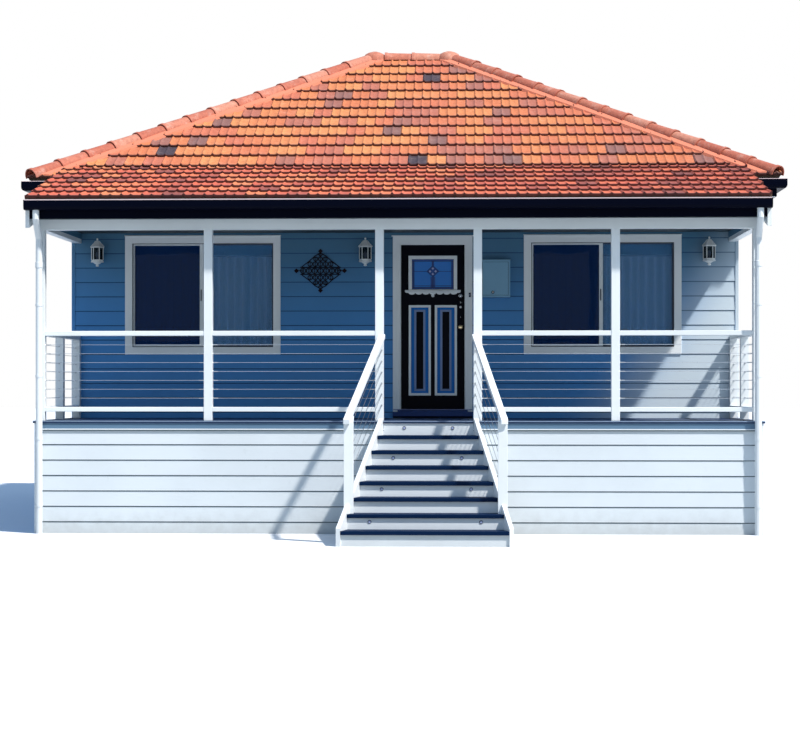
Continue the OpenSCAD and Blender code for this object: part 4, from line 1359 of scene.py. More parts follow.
@dataclass
class Roof:
    """The hipped main roof, the verandah roof and their caps."""

    tiling: Tiling = field(default_factory=Tiling)
    course_up: float = 0.036
    course_low: float = 0.008
    cap_exposure: float = 0.405
    cap_radius: float = 0.108
    collar: float = 0.010
    wall: float = 0.013
    cap_lift: float = 0.012
    bed: float = 0.185
    bed_inner: float = 0.05
    bed_height: float = 0.052
    bed_steps: int = 24

    def __post_init__(self) -> None:
        """Reads the slopes off the frame."""
        self.low, self.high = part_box("main_roof")
        self.eave_z = top_z("main_roof", "x", self.low.x) - self.course_up
        self.ridge_z = self.high.z - self.course_low
        self.run = (self.high.y - self.low.y) / 2
        self.rise = (self.ridge_z - self.eave_z) / self.run
        self.ridge_y = (self.high.y + self.low.y) / 2
        self.exposure = self.slope(Wall.FRONT).length / self.tiling.courses

    def slope(self, wall: Wall) -> Slope:
        """Finds the main roof's slope over a wall.

        Args:
            wall: The wall.

        Returns:
            The slope.
        """
        x, y = wall.value
        middle = Vector((x * self.high.x, self.ridge_y + y * self.run, self.eave_z))
        half = self.run if x else self.high.x
        return Slope(middle, Vector((-y, x, 0)), self.rise, self.run, half)

    def planes(self, wall: Wall) -> list[Triple]:
        """Finds the upright planes that bound a slope at its hips and the ridge.

        Args:
            wall: The wall under the slope.

        Returns:
            The planes, as cut_faces takes them.
        """
        depths = {Wall.FRONT: (0, 1, -self.low.y), Wall.BACK: (0, -1, self.high.y),
                  Wall.LEFT: (1, 0, -self.low.x), Wall.RIGHT: (-1, 0, self.high.x)}
        mine = depths.pop(wall)
        return [tuple(o - m for o, m in zip(other, mine)) for other in depths.values()]

    def main(self) -> None:
        """Tiles the four slopes, with no first course behind the verandah roof."""
        form = Form("roof_tiles", "roof_tile")
        count = self.tiling.courses
        front, planes = self.slope(Wall.FRONT), self.planes(Wall.FRONT)
        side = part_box("verandah_roof")[1].x
        self.tiling.lay(form, front, range(1, count), self.exposure, planes)
        for sign in (-1, 1):
            self.tiling.lay(form, front, range(1), self.exposure, [*planes, (sign, 0, -side)])
        for wall in (Wall.BACK, Wall.LEFT, Wall.RIGHT):
            self.tiling.lay(form, self.slope(wall), range(count), self.exposure, self.planes(wall))
        form.piece(smooth=True, closed=False)

    def verandah(self) -> None:
        """Tiles the verandah roof up to the first course of the main roof."""
        low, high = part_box("verandah_roof")
        eave_z = top_z("verandah_roof", "y", low.y) - self.course_up
        run = high.y - low.y
        fall = (self.eave_z + self.rise * (high.y - self.low.y) - eave_z) / run
        slope = Slope(Vector((0, low.y, eave_z)), Vector((1, 0, 0)), fall, run, high.x)
        form = Form("verandah_tiles", "verandah_tile")
        courses = range(math.ceil(slope.length / self.exposure))
        bounds = [(1, 0, high.x), (-1, 0, high.x), (0, -1, high.y + 0.02)]
        self.tiling.lay(form, slope, courses, self.exposure, bounds)
        form.piece(slot="roof_tile", smooth=True, closed=False)

    def cap(self, form: Form, at: Matrix, length: float, tone: float) -> None:
        """Adds one half-round cap with a collar at its lower end.

        Args:
            form: The piece.
            at: Its place: x runs along the line, z is up.
            length: Its length with the part under the next cap.
            tone: Its place in the clay's range.
        """
        narrow, wide = self.cap_radius, self.cap_radius + self.collar
        # The last number of each station marks painted shade under the collar and at its step.
        stations = ((0.0, wide, 0.9), (0.038, wide, 0.3), (0.046, narrow + 0.002, 0.6),
                    (0.06, narrow, 0.0), (length, narrow - 0.012, 0.0))
        angles = [math.radians(a) for a in range(-96, 97, 16)]
        points, marks = [], []
        for x, radius, mark in stations:
            for r, turn in ((radius, angles), (radius - self.wall, angles[::-1])):
                points += [(x, r * math.sin(a), r * math.cos(a) * 0.92) for a in turn]
                marks += [mark] * len(turn)
        n = 2 * len(angles)
        faces = lattice(len(stations), n, around=True)
        for start in (0, len(points) - n):
            faces += [(start + k, start + k + 1, start + n - 2 - k, start + n - 1 - k)
                      for k in range(len(angles) - 1)]
        form.at = at
        form.add(points, faces, tone=tone, edge=marks)

    def line(self, form: Form, start: Vector, end: Vector, rng: random.Random) -> None:
        """Lays caps from a low point to a high one.

        Args:
            form: The piece.
            start: The low point.
            end: The high point.
            rng: What varies the caps.
        """
        ahead = (end - start).normalized()
        count = max(1, round((end - start).length / self.cap_exposure))
        step = (end - start).length / count
        side = Vector((0, 0, 1)).cross(ahead).normalized()
        turn = Matrix((ahead, side, ahead.cross(side))).transposed().to_4x4()
        for i in range(count):
            nudge = Vector([rng.uniform(-1, 1) * 0.002 for _ in range(3)])
            place = Matrix.Translation(start + ahead * (i * step) + nudge) @ turn
            tilt = Matrix.Rotation(math.radians(rng.uniform(-0.6, 0.2)), 4, "Y")
            self.cap(form, place @ tilt, step + 0.03, rng.random())

    def caps(self) -> None:
        """Caps the four hips and the ridge, over their bed of mortar."""
        rng = random.Random(SEED + 1)
        form = Form("hip_caps", "cap_tile", "mortar")
        z = self.ridge_z
        end_x = self.high.x - self.run
        for sx in (-1, 1):
            peak = Vector((sx * end_x, self.ridge_y, z + self.cap_lift))
            for sy in (-1, 1):
                foot = Vector((sx * self.high.x, self.ridge_y + sy * self.run,
                               self.eave_z + self.cap_lift))
                self.bedding(form, foot, peak, sx * sy)
                ahead = (peak - foot).normalized()
                self.line(form, foot + ahead * 0.03, peak - ahead * 0.16, rng)
        ridge = (Vector((x, self.ridge_y, z - 0.004)) for x in (-end_x + 0.14, end_x - 0.14))
        self.line(form, *ridge, rng)
        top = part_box("hip_and_ridge_caps")[1].z - 0.002
        dome = ((0.165, z - 0.075), (0.172, z - 0.02), (0.160, z + 0.035), (0.130, z + 0.078),
                (0.085, top - 0.018), (0.035, top - 0.003), (0.004, top))
        for sx in (-1, 1):
            form.seat(sx * end_x, self.ridge_y)
            form.turned(dome, 20, tone=rng.random(), edge=0.1)
        form.piece(smooth=True, replaces=["hip_and_ridge_caps"])

    def bedding(self, form: Form, foot: Vector, peak: Vector, side: int) -> None:
        """Runs a band of mortar on both sides of a hip.

        Args:
            form: The piece.
            foot: The hip's lower end.
            peak: Its upper end.
            side: -1 or 1, which varies its edge.
        """
        flat = Vector((peak.x - foot.x, peak.y - foot.y, 0))
        length = flat.length
        flat.normalize()
        across = Vector((-flat.y, flat.x, 0))
        drop = self.rise / math.sqrt(2)
        outer, inner = self.bed, self.bed_inner
        form.seat()
        for s in (-1, 1):
            section = ((s * outer, -outer * drop + 0.008), (s * (outer - 0.012), -outer * drop + 0.045),
                       (s * inner, -inner * drop + self.bed_height), (s * inner, -inner * drop - 0.01))
            points = []
            for i in range(self.bed_steps + 1):
                wobble = 0.006 * math.sin(i * 2.3 + side) + 0.004 * math.sin(i * 5.1)
                for j, (x, z) in enumerate(section):
                    swell = wobble if j < 2 and i else 0.0
                    begin = abs(x) / length
                    centre = foot.lerp(peak, begin + (1 - begin) * i / self.bed_steps)
                    points.append(centre + across * (x + math.copysign(swell, x)) + Vector((0, 0, z)))
            last = 4 * self.bed_steps
            ends = [(0, 1, 2, 3), (last + 3, last + 2, last + 1, last)]
            form.add(points, lattice(self.bed_steps + 1, 4, around=True) + ends, "mortar")

    def build(self) -> None:
        """Tiles both roofs and caps the hips and the ridge."""
        self.main()
        self.verandah()
        self.caps()


@dataclass(frozen=True)
class Opening:
    """One window: its wall, its middle along it, and its lower and upper edge."""

    wall: Wall
    x: float
    width: float
    low: float
    high: float

    @property
    def matrix(self) -> Matrix:
        """The wall's axes, moved to the window's middle."""
        return self.wall.matrix @ Matrix.Translation((self.x, 0, (self.low + self.high) / 2))

    @property
    def half(self) -> Span:
        """Half of its width and of its height."""
        return self.width / 2, (self.high - self.low) / 2


def windows() -> list[Opening]:
    """Finds every window from the frames in the walls.

    Returns:
        The windows.
    """
    found = []
    for low, high in solids("window_frames"):
        for wall in Wall:
            a, b = wall.flat(low, high)
            if abs(a.y) < NEAR and b.y < 0.2:
                found.append(Opening(wall, (a.x + b.x) / 2, b.x - a.x, low.z, high.z))
    return found


@dataclass
class Windows:
    """Sliding sashes, their beads and tracks, and the curtains behind them."""

    frame_w: float = 0.016
    sash_w: float = 0.016
    stile: float = 0.045
    fixed_w: float = 0.014
    bead: float = 0.003
    lap: float = 0.010
    depth: float = 0.030
    between: float = 0.004
    front_y: float = 0.012
    pull: float = 0.07
    shade_gap: float = 0.009
    drip: Profile = ((-0.034, 0.0), (-0.034, 0.004), (-0.004, 0.014), (0.0, 0.0))
    curtain_drop: float = 0.17
    curtain_y: float = 0.1403
    hem: float = 0.045
    fold: float = 0.098
    swing: float = 0.0165
    rows: int = 9
    fold_steps: int = 12
    rod: float = 0.008

    def __post_init__(self) -> None:
        """Finds the windows."""
        self.openings = windows()

    def sashes(self) -> None:
        """Builds a sliding sash in front on the left and a fixed pane behind on the right, whose frame
        and tracks are dark as painted shade.
        """
        form = Form("window_sash_bars", "window_metal", "track_metal")
        for opening in self.openings:
            form.at = opening.matrix
            half, high = (reach - self.frame_w for reach in opening.half)
            meet = self.lap / 2
            y = (self.front_y, self.front_y + self.depth)
            form.ring((-half, meet, -high, high), self.sash_w, y, "window_metal")
            x0, x1, z = -half + self.sash_w, meet - self.sash_w, high - self.sash_w
            form.ring((x0, x1, -z, z), self.bead, (y[0] + 0.005, y[1]), "window_metal")
            form.box((meet - self.stile, y[0] + 0.001, -z), (x1 + 0.001, y[1] - 0.001, z))
            back = (y[1] + self.between, y[1] + self.between + self.depth)
            # Painted shade: the fixed pane's frame and the tracks are dark, for the shade behind the
            # sliding sash.
            form.ring((-meet, half, -high, high), self.fixed_w, back, "track_metal")
            for low in (-high - 0.004, high - 0.002):
                form.box((-half, back[0] - 0.01, low), (half, back[0] - self.between, low + 0.006),
                         "track_metal")
            form.box((meet - 0.034, y[0] - 0.006, -self.pull), (meet - 0.020, y[0] + 0.002, self.pull),
                     "track_metal")
        form.piece(replaces=["window_sashes"], bevel=0.0015)

    def panes(self) -> None:
        """Glazes the sliding sashes with glass darkened by a painted reflection and the fixed halves
        with clear glass.
        """
        form = Form("window_panes", "dark_glass", "window_glass")
        turns = [opening.matrix.inverted() for opening in self.openings]
        for low, high in solids("window_glass"):
            place = min((turn @ ((low + high) / 2) for turn in turns), key=lambda p: p.length)
            form.box(low, high, "dark_glass" if place.x < 0 else "window_glass")
        form.piece(slot="window_glass", replaces=["window_glass"])

    def trims(self) -> None:
        """Adds a ring of painted shade in the gap inside each casing and the flashing over its head."""
        form = Form("window_trims", "trim_paint", "gap_shadow")
        low, high = solids("window_casings")[0]
        casing = (high.z - low.z - (self.openings[0].high - self.openings[0].low)) / 2
        for opening in self.openings:
            form.at = opening.matrix
            w, h = (reach - self.shade_gap for reach in opening.half)
            # Painted shade: a dark ring in the gap inside the casing.
            form.ring((-w, w, -h, h), self.shade_gap, (-0.003, 0.006), "gap_shadow")
            w, top = opening.half[0] + casing + 0.006, opening.half[1] + casing
            form.prism([(y, top + z) for y, z in self.drip], -w, w, "trim_paint", axis="x")
        form.piece()

    def curtain(self, name: str, opening: Opening, x0: float, x1: float, rng: random.Random) -> None:
        """Hangs one gathered curtain.

        Args:
            name: The piece's name.
            opening: Its window.
            x0: Its left edge in the window's axes.
            x1: Its right edge.
            rng: What varies its folds.
        """
        top = opening.half[1] - self.curtain_drop
        bottom = -opening.half[1] - self.hem
        folds = max(3, round((x1 - x0) / self.fold))
        places = np.cumsum([0.0, *(rng.uniform(0.7, 1.3) for _ in range(folds))])
        columns = folds * self.fold_steps + 1
        t = np.linspace(0, 1, columns)
        phase = np.interp(t, places / places[-1], np.arange(folds + 1) * math.tau)
        points, length, depths = [], 0.0, []
        for r in range(self.rows):
            v = r / (self.rows - 1)
            swing = self.swing * (0.62 + 0.38 * v)
            lean = 0.006 * math.sin(2.0 * v + rng.random() * 0.2)
            x = x0 + (x1 - x0) * t + np.sin(phase) * 0.012 + lean * np.sin(t * 9)
            y = self.curtain_y + swing * np.cos(phase + 0.25 * np.sin(t * 7 + v))
            points += [(px, py, top + (bottom - top) * v) for px, py in zip(x, y)]
            # The fold mark holds how deep a point lies in its fold, for the painted shade there.
            depths += [float(d) for d in (y - self.curtain_y) / (2 * swing) + 0.5]
            length = max(length, float(np.hypot(np.diff(x), np.diff(y)).sum()))
        form = Form(name, "curtain_cloth")
        form.at = opening.matrix
        form.add(points, lattice(self.rows, columns), fold=depths)
        made = form.piece(replaces=["curtains"], smooth=True, closed=False)
        round(top - bottom, 3)

    def rods(self) -> None:
        """Puts a rod with two brackets over every pair of curtains."""
        form = Form("curtain_rods", "track_metal")
        for opening in self.openings:
            form.at = opening.matrix
            z = opening.half[1] - self.curtain_drop + 0.012
            half = opening.half[0] + 0.03
            form.bars([((-half, z), (half, z))], self.curtain_y, self.rod, 10)
            for x in (-half + 0.015, half - 0.015):
                form.box((x - 0.006, 0.1195, z - 0.014), (x + 0.006, self.curtain_y, z + 0.014))
        form.piece(slot="wire_steel")

    def build(self) -> None:
        """Dresses every window."""
        self.sashes()
        self.panes()
        self.trims()
        self.rods()
        rng = random.Random(SEED + 2)
        for i, opening in enumerate(self.openings):
            half = opening.half[0] + 0.02
            for side, x0, x1 in (("a", -half, -0.012), ("b", 0.012, half)):
                self.curtain(f"curtain_{opening.wall.name.lower()}_{i}{side}", opening, x0, x1, rng)


@dataclass
class FrontDoor:
    """Leadlight, fielded panels, scalloped ledge and hardware of the front door."""

    panel: Span = (0.220, 1.057)
    strip: Span = (0.085, 0.945)
    bevel: float = 0.026
    sink: float = 0.014
    band: float = 0.026
    diamond: float = 0.073
    scallops: int = 7
    knob_z: float = 2.374
    knob: Profile = ((0.026, 0.0), (0.026, 0.004), (0.020, 0.008), (0.010, 0.010), (0.010, 0.030),
                     (0.018, 0.034), (0.026, 0.042), (0.028, 0.050), (0.026, 0.058), (0.018, 0.064),
                     (0.006, 0.066))
    lock: tuple[float, Profile] = (2.496, ((0.016, 0.0), (0.016, 0.005), (0.012, 0.008)))
    peephole: tuple[float, Profile] = (
        2.621, ((0.015, 0.0), (0.015, 0.004), (0.010, 0.007), (0.009, 0.010)))
    knocker: tuple[float, Profile] = (
        2.758, ((0.026, 0.0), (0.026, 0.006), (0.020, 0.012), (0.010, 0.018)))
    striker: tuple[float, Profile] = (2.678, ((0.009, 0.0), (0.009, 0.010)))
    loop: Span = (0.026, 0.040)

    def __post_init__(self) -> None:
        """Finds the leaf's outer face."""
        self.face = solids("front_door")[0][0].y

    def glass(self) -> None:
        """Sets coloured panes in lead in place of the plain sheet."""
        low, high = solids("door_glass")[0]
        mid, y = (low.x + high.x) / 2, (low.y + high.y) / 2
        bar, rail = low.z + (high.z - low.z) * 0.60, low.z + 0.045
        form = Form("door_leadlight", "light_glass", "border_glass", "bead_glass", "lead")
        form.box((low.x, y - 0.002, low.z), (high.x, y + 0.002, high.z))
        x0, x1 = low.x + self.band, high.x - self.band
        z0, z1 = low.z + self.band, high.z - self.band
        border = [(low.x, low.z, x0, high.z), (x1, low.z, high.x, high.z),
                  (x0, z1, x1, high.z), (x0, low.z, x1, z0)]
        form.plates(border, (y - 0.0035, y - 0.002), "border_glass")
        stems = [(mid - 0.028, z0, mid + 0.028, bar - 0.07), (mid - 0.014, bar + 0.07, mid + 0.014, z1)]
        form.plates(stems, (y - 0.0032, y - 0.002), "border_glass")
        r = self.diamond
        corners = form.diamond(mid, bar, r, (y - 0.0045, y - 0.002), "border_glass")
        for dx, dz in ((0.034, 0), (-0.034, 0), (0, 0.034), (0, -0.034)):
            form.diamond(mid + dx, bar + dz, 0.015, (y - 0.0062, y - 0.0045), "bead_glass")
        leads = [((x0, z0), (x1, z0)), ((x0, z1), (x1, z1)), ((x0, z0), (x0, z1)), ((x1, z0), (x1, z1)),
                 ((x0, bar), (mid - r, bar)), ((mid + r, bar), (x1, bar)), ((x0, rail), (x1, rail)),
                 ((mid, z0), (mid, bar - r)), ((mid, bar + r), (mid, z1))]
        leads += [((a, z), (b, z)) for z in (z0, z1) for a, b in ((low.x, x0), (x1, high.x))]
        leads += [(corners[i], corners[j]) for i, j in CORNER_PAIRS]
        form.bars(leads, y - 0.0035, 0.0028, 6, "lead")
        ties = [((mid + dx, bar - 0.021), (mid + dx, bar + 0.021)) for dx in (-0.052, 0.052)]
        form.bars(ties, y - 0.0045, 0.002, 6, "lead")
        form.piece(DOOR, replaces=["door_glass"])

    def panels(self) -> None:
        """Lays the coloured field and the sloped border of both panels, and beads round them."""
        form = Form("door_panels", "panel_paint", "bevel_paint")
        beads = Form("door_beads", "trim_paint")
        (w, h), (sw, sh) = ([size / 2 for size in pair] for pair in (self.panel, self.strip))
        top, foot, back = self.face - 0.0008, self.face + 0.0118, self.face + self.sink
        for a, b in solids("door_mouldings"):
            if not 1.0 <= b.z - a.z <= 1.3:
                continue
            x, z = (a.x + b.x) / 2, (a.z + b.z) / 2
            form.plates([(x - w, z - h, x + w, z + h)], (back - 0.0015, back))
            outer, inner = (rectangle((x - sw, x + sw, z - sh, z + sh), inset)
                            for inset in (-self.bevel, 0.0))
            edge = rectangle((x - w, x + w, z - h, z + h))
            for i, j in CORNER_PAIRS:
                quad = (outer[i], outer[j], inner[j], inner[i])
                near = [(px, y, pz) for (px, pz), y in zip(quad, (foot, foot, top, top))]
                form.add(near + [(px, back, pz) for px, pz in quad],
                         [(0, 1, 2, 3), (7, 6, 5, 4), (0, 4, 5, 1), (1, 5, 6, 2), (2, 6, 7, 3),
                          (3, 7, 4, 0)], "bevel_paint")
                beads.bars([(edge[i], edge[j])], self.face - 0.001, 0.004, 8)
        form.piece(DOOR, slot="door_paint", bevel=0.0015)
        beads.piece(DOOR, smooth=True)

    def ledge(self) -> None:
        """Cuts the scallops under the ledge and sets its cap and boss."""
        form = Form("door_ledge_trim", "trim_paint")
        low, high = min(solids("door_mouldings"), key=lambda s: s[0].y)
        x0, x1, front, face = low.x, high.x, low.y, self.face
        foot = solids("door_glass")[0][0].z - 0.042
        pitch = (x1 - x0 - 0.06) / self.scallops
        for i in range(self.scallops):
            x = x0 + 0.03 + (i + 0.5) * pitch
            turns = [math.pi * k / 10 for k in range(11)]
            arc = [(x - pitch / 2 * math.cos(a), foot + 0.004 - 0.026 * math.sin(a)) for a in turns]
            arc += [(x + pitch / 2, foot + 0.006), (x - pitch / 2, foot + 0.006)]
            form.prism(arc, face - 0.012, face, axis="y")
        cap = [(face, foot + 0.034), (front - 0.014, foot + 0.034), (front - 0.018, foot + 0.028),
               (front - 0.012, foot + 0.020), (front - 0.004, foot + 0.012), (front, foot + 0.006),
               (face, foot + 0.006)]
        form.prism(cap, x0 - 0.012, x1 + 0.012, axis="x")
        boss = ((0.020, 0.0), (0.020, 0.008), (0.015, 0.014), (0.006, 0.017))
        form.stud(((x0 + x1) / 2, face, foot - 0.034), boss, 20)
        form.piece(DOOR, bevel=0.0015)

    def hardware(self) -> None:
        """Fits the knob, the lock, the peephole and the knocker."""
        low, high = solids("door_knobs")[0]
        x = (low.x + high.x) / 2
        form = Form("door_hardware", "knob_brass", "wire_steel", "iron")
        form.stud((x, self.face, self.knob_z), self.knob, 28)
        form.stud((x, self.face, self.lock[0]), self.lock[1], 20, "iron")
        form.box((-0.0015, -0.0095, -0.006), (0.0015, -0.008, 0.006), "wire_steel")
        form.stud((x, self.face, self.peephole[0]), self.peephole[1], 20, "wire_steel")
        form.stud((x, self.face, self.knocker[0]), self.knocker[1], 24, "wire_steel")
        form.seat(x, self.face - 0.014, self.knocker[0] - self.loop[1])
        ring = [(self.loop[0] * c, 0.0, self.loop[1] * s) for c, s in circle(28, 0)]
        form.rod(ring, 0.0045, 8, "iron", closed=True)
        form.stud((x, self.face, self.striker[0]), self.striker[1], 12, "wire_steel")
        form.piece(DOOR, replaces=["door_knobs"], smooth=True)

    def bell(self) -> None:
        """Sets the bell push on the casing beside the door."""
        form = Form("door_bell", "gap_shadow", "bead_glass")
        form.seat(0.814, solids("door_casing")[0][0].y, 2.766)
        form.box((-0.012, -0.009, -0.026), (0.012, 0.0, 0.026))
        form.turned([(0.006, 0.009), (0.006, 0.012), (0.004, 0.013)], 14, "bead_glass", axis="y")
        form.piece(slot="wire_steel", bevel=0.002)

    def surround(self) -> None:
        """Adds the mould over the head of the doorway, a painted highlight along the edge of each step
        of the sill, and a strip of painted shade at the sill's foot.
        """
        form = Form("door_surround_trim", "trim_paint", "worn_edge", "gap_shadow")
        low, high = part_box("door_casing")
        wall, deck = Wall.FRONT.foot.y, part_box("verandah_deck")[1].z
        form.box((low.x - 0.014, low.y - 0.012, high.z), (high.x + 0.014, wall, high.z + 0.012))
        # Painted shade: a dark strip at the sill's foot; painted highlight: a pale bar along each
        # step's edge.
        for low, high in solids("door_sill"):
            form.box((low.x, wall - 0.003, deck), (high.x, wall, max(low.z, deck) + 0.004),
                     "gap_shadow")
            z = high.z - 0.003
            form.bars([((low.x + 0.004, z), (high.x - 0.004, z))], low.y + 0.003, 0.0045, 8,
                      "worn_edge")
        form.piece(bevel=0.002)

    def build(self) -> None:
        """Builds the doorway's details."""
        self.glass()
        self.panels()
        self.ledge()
        self.hardware()
        self.bell()
        self.surround()


@dataclass
class Lanterns:
    """Six-sided wall lanterns with glazed sides, a pitched roof and a finial."""

    base: Profile = ((0.010, 0.0), (0.019, 0.006), (0.022, 0.014), (0.013, 0.023), (0.030, 0.034),
                     (0.052, 0.048), (0.079, 0.052), (0.079, 0.064), (0.073, 0.070), (0.073, 0.085))
    roof: Profile = ((0.062, 0.229), (0.080, 0.231), (0.0862, 0.235), (0.0862, 0.243),
                     (0.079, 0.249), (0.060, 0.270), (0.042, 0.292), (0.026, 0.313),
                     (0.012, 0.320), (0.008, 0.327), (0.013, 0.334), (0.012, 0.341), (0.003, 0.350))
    bulb: Profile = ((0.012, 0.084), (0.012, 0.104), (0.022, 0.134), (0.023, 0.150), (0.016, 0.172),
                     (0.004, 0.182))
    arm: Profile = ((0.012, 0.128), (0.034, 0.116), (0.054, 0.124), (0.060, 0.150),
                    (0.046, 0.182), (0.040, 0.214), (0.054, 0.237))
    glazed: Span = (0.084, 0.231)
    pane: float = 0.0715

    def build(self) -> None:
        """Hangs a lantern at every place that the frame names."""
        form = Form("wall_lanterns", "lantern_paint", "lantern_glass", "bead_glass")
        corners = circle(6)
        turn = math.radians(30)
        for low, high in solids("lanterns"):
            x, wall = (low.x + high.x) / 2, high.y
            out = high.y - low.y - (high.x - low.x) / 2 * math.cos(turn)
            form.seat(x, wall, low.z)
            form.box((-0.035, -0.010, 0.084), (0.035, 0, 0.252))
            form.box((-0.026, -0.015, 0.094), (0.026, -0.010, 0.242))
            form.rod([*((0, -y, z) for y, z in self.arm), (0, -out + 0.050, 0.243)], 0.0068, 10)
            form.at = Matrix.Translation((x, wall - out, low.z)) @ Matrix.Rotation(turn, 4, "Z")
            form.turned(self.base, 6)
            form.turned(self.roof, 6)
            form.turned(self.bulb, 14, "bead_glass")
            for (c, s), (d, t) in zip(corners, corners[1:] + corners[:1]):
                form.rod([(c * self.pane, s * self.pane, z) for z in self.glazed], 0.0052, 6)
                form.rod([(c * r * 1.01, s * r * 1.01, z) for r, z in self.roof[3:8]], 0.0028, 5)
                r = self.pane - 0.004
                form.prism([(c * r, s * r), (d * r, t * r), (d * (r - 0.002), t * (r - 0.002)),
                            (c * (r - 0.002), s * (r - 0.002))], *self.glazed, "lantern_glass")
        form.piece(replaces=["lanterns"], bevel=0.0012)


@dataclass
class Ornament:
    """An openwork diamond of iron rings between two bars.

    Attributes:
        rows: Height of a row and radius of its rings as shares of half the diamond's height,
            and the number of rings.
        tip: Size of the end diamonds as a share of that, and band, height of the two bars.
    """

    rows: tuple[tuple[float, float, int], ...] = (
        (0.0, 0.145, 7), (0.305, 0.13, 5), (-0.305, 0.13, 5), (0.535, 0.12, 3), (-0.535, 0.12, 3),
        (0.737, 0.10, 1), (-0.737, 0.10, 1))
    tip: float = 0.11
    band: float = 0.16
    wire: float = 0.0075
    bar: float = 0.006
    sheet: float = 0.008

    def rings(self, form: Form, half: float, y: Span) -> None:
        """Bends the rings, each with two leaves in it.

        Args:
            form: The piece.
            half: Half of the diamond's height.
            y: Front and back of the leaves.
        """
        for level, share, count in self.rows:
            r, z = share * half - self.wire, level * half
            leaf = r * 0.55
            for i in range(count):
                x = (i - (count - 1) / 2) * (2 * r + self.wire)
                ring = [(x + r * c, sum(y) / 2, z + r * s) for c, s in circle(20, 0)]
                form.rod(ring, self.wire * 0.75, 6, closed=True)
                for side in (-1, 1):
                    form.prism([(x, z), (x - leaf * 0.5, z + side * leaf * 0.8),
                                (x, z + side * leaf * 1.5), (x + leaf * 0.5, z + side * leaf * 0.8)],
                               *y, axis="y")

    def build(self) -> None:
        """Bends the rings and joins them."""
        low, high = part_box("wall_ornament")
        w, h = (high.x - low.x) / 2, (high.z - low.z) / 2
        sheet = (low.y, low.y + self.sheet)
        y = sum(sheet) / 2
        form = Form("iron_ornament", "iron")
        form.seat((low.x + high.x) / 2, 0, (low.z + high.z) / 2)
        self.rings(form, h, sheet)
        tip = self.tip * h
        out, reach = w - tip, (w - tip) * (1 - self.band)
        for s in (-1, 1):
            bar = s * self.band * h
            form.bars([((-reach, bar), (reach, bar))], y, self.bar, 8)
            for t in (-1, 1):
                curve = [(t * out * 0.80, bar), (t * w * 0.42, s * h * 0.44),
                         (t * w * 0.20, s * h * 0.68), (t * 0.012, s * (h - 2 * tip))]
                form.bars([curve], y, self.bar, 8)
            for x, z in ((0, s * (h - tip)), (s * out, 0)):
                form.diamond(x, z, tip, sheet)
            form.bars([((s * (w - 2.2 * self.tip * h - 0.055), 0), (s * out, 0))], y, 0.005, 8)
            form.rod([(s * out, high.y, 0), (s * out, sheet[1], 0)], self.bar, 8)
        form.piece(replaces=["wall_ornament"])


@dataclass
class Cupboard:
    """Hood, rim and latch of the meter cupboard."""

    rim: float = 0.012
    rise: float = 0.003
    line: float = 0.003
    inset: float = 0.010

    def door(self) -> None:
        """Adds the parts that swing with the door."""
        low, high = solids("meter_box_door")[0]
        form = Form("meter_door_trim", "cabinet_paint", "gap_shadow", "wire_steel")
        form.seat(y=low.y)
        x0, x1, z0, z1 = low.x, high.x, low.z, high.z
        rim, mark, end = self.rim, self.rim + self.inset, self.rim + self.inset + self.line
        form.plates([(x0, z0, x1, z0 + rim), (x0, z1 - rim, x1, z1),
                     (x0, z0 + rim, x0 + rim, z1 - rim), (x1 - rim, z0 + rim, x1, z1 - rim)],
                    (-self.rise, 0.001))
        form.plates([(x0 + mark, z0 + mark, x1 - mark, z0 + end),
                     (x0 + mark, z1 - end, x1 - mark, z1 - mark),
                     (x0 + mark, z0 + mark, x0 + end, z1 - mark),
                     (x1 - end, z0 + mark, x1 - mark, z1 - mark)], (-0.0004, 0.0004), "gap_shadow")
        middle = (x0 + x1) / 2 - 0.03
        form.plates([(middle - 0.034, z0 + 0.044, middle + 0.034, z0 + 0.074)], (-0.002, 0.004))
        latch = ((0.019, 0.0), (0.019, 0.004), (0.014, 0.009), (0.004, 0.010))
        form.stud((middle, low.y - 0.002, z0 + 0.059), latch, 18, "gap_shadow")
        form.box((-0.003, -0.013, -0.014), (0.003, -0.009, 0.014), "wire_steel")
        form.piece(METER_DOOR, bevel=0.001)

    def build(self) -> None:
        """Adds the door's parts and the hood that stays."""
        self.door()
        low, high = solids("meter_box")[0]
        form = Form("meter_hood", "cabinet_paint")
        front, top = low.y - 0.012, high.z
        form.prism([(high.y, top + 0.018), (front, top + 0.008), (front, top + 0.003),
                    (high.y, top + 0.003)], low.x - 0.006, high.x + 0.006, axis="x")
        form.piece()


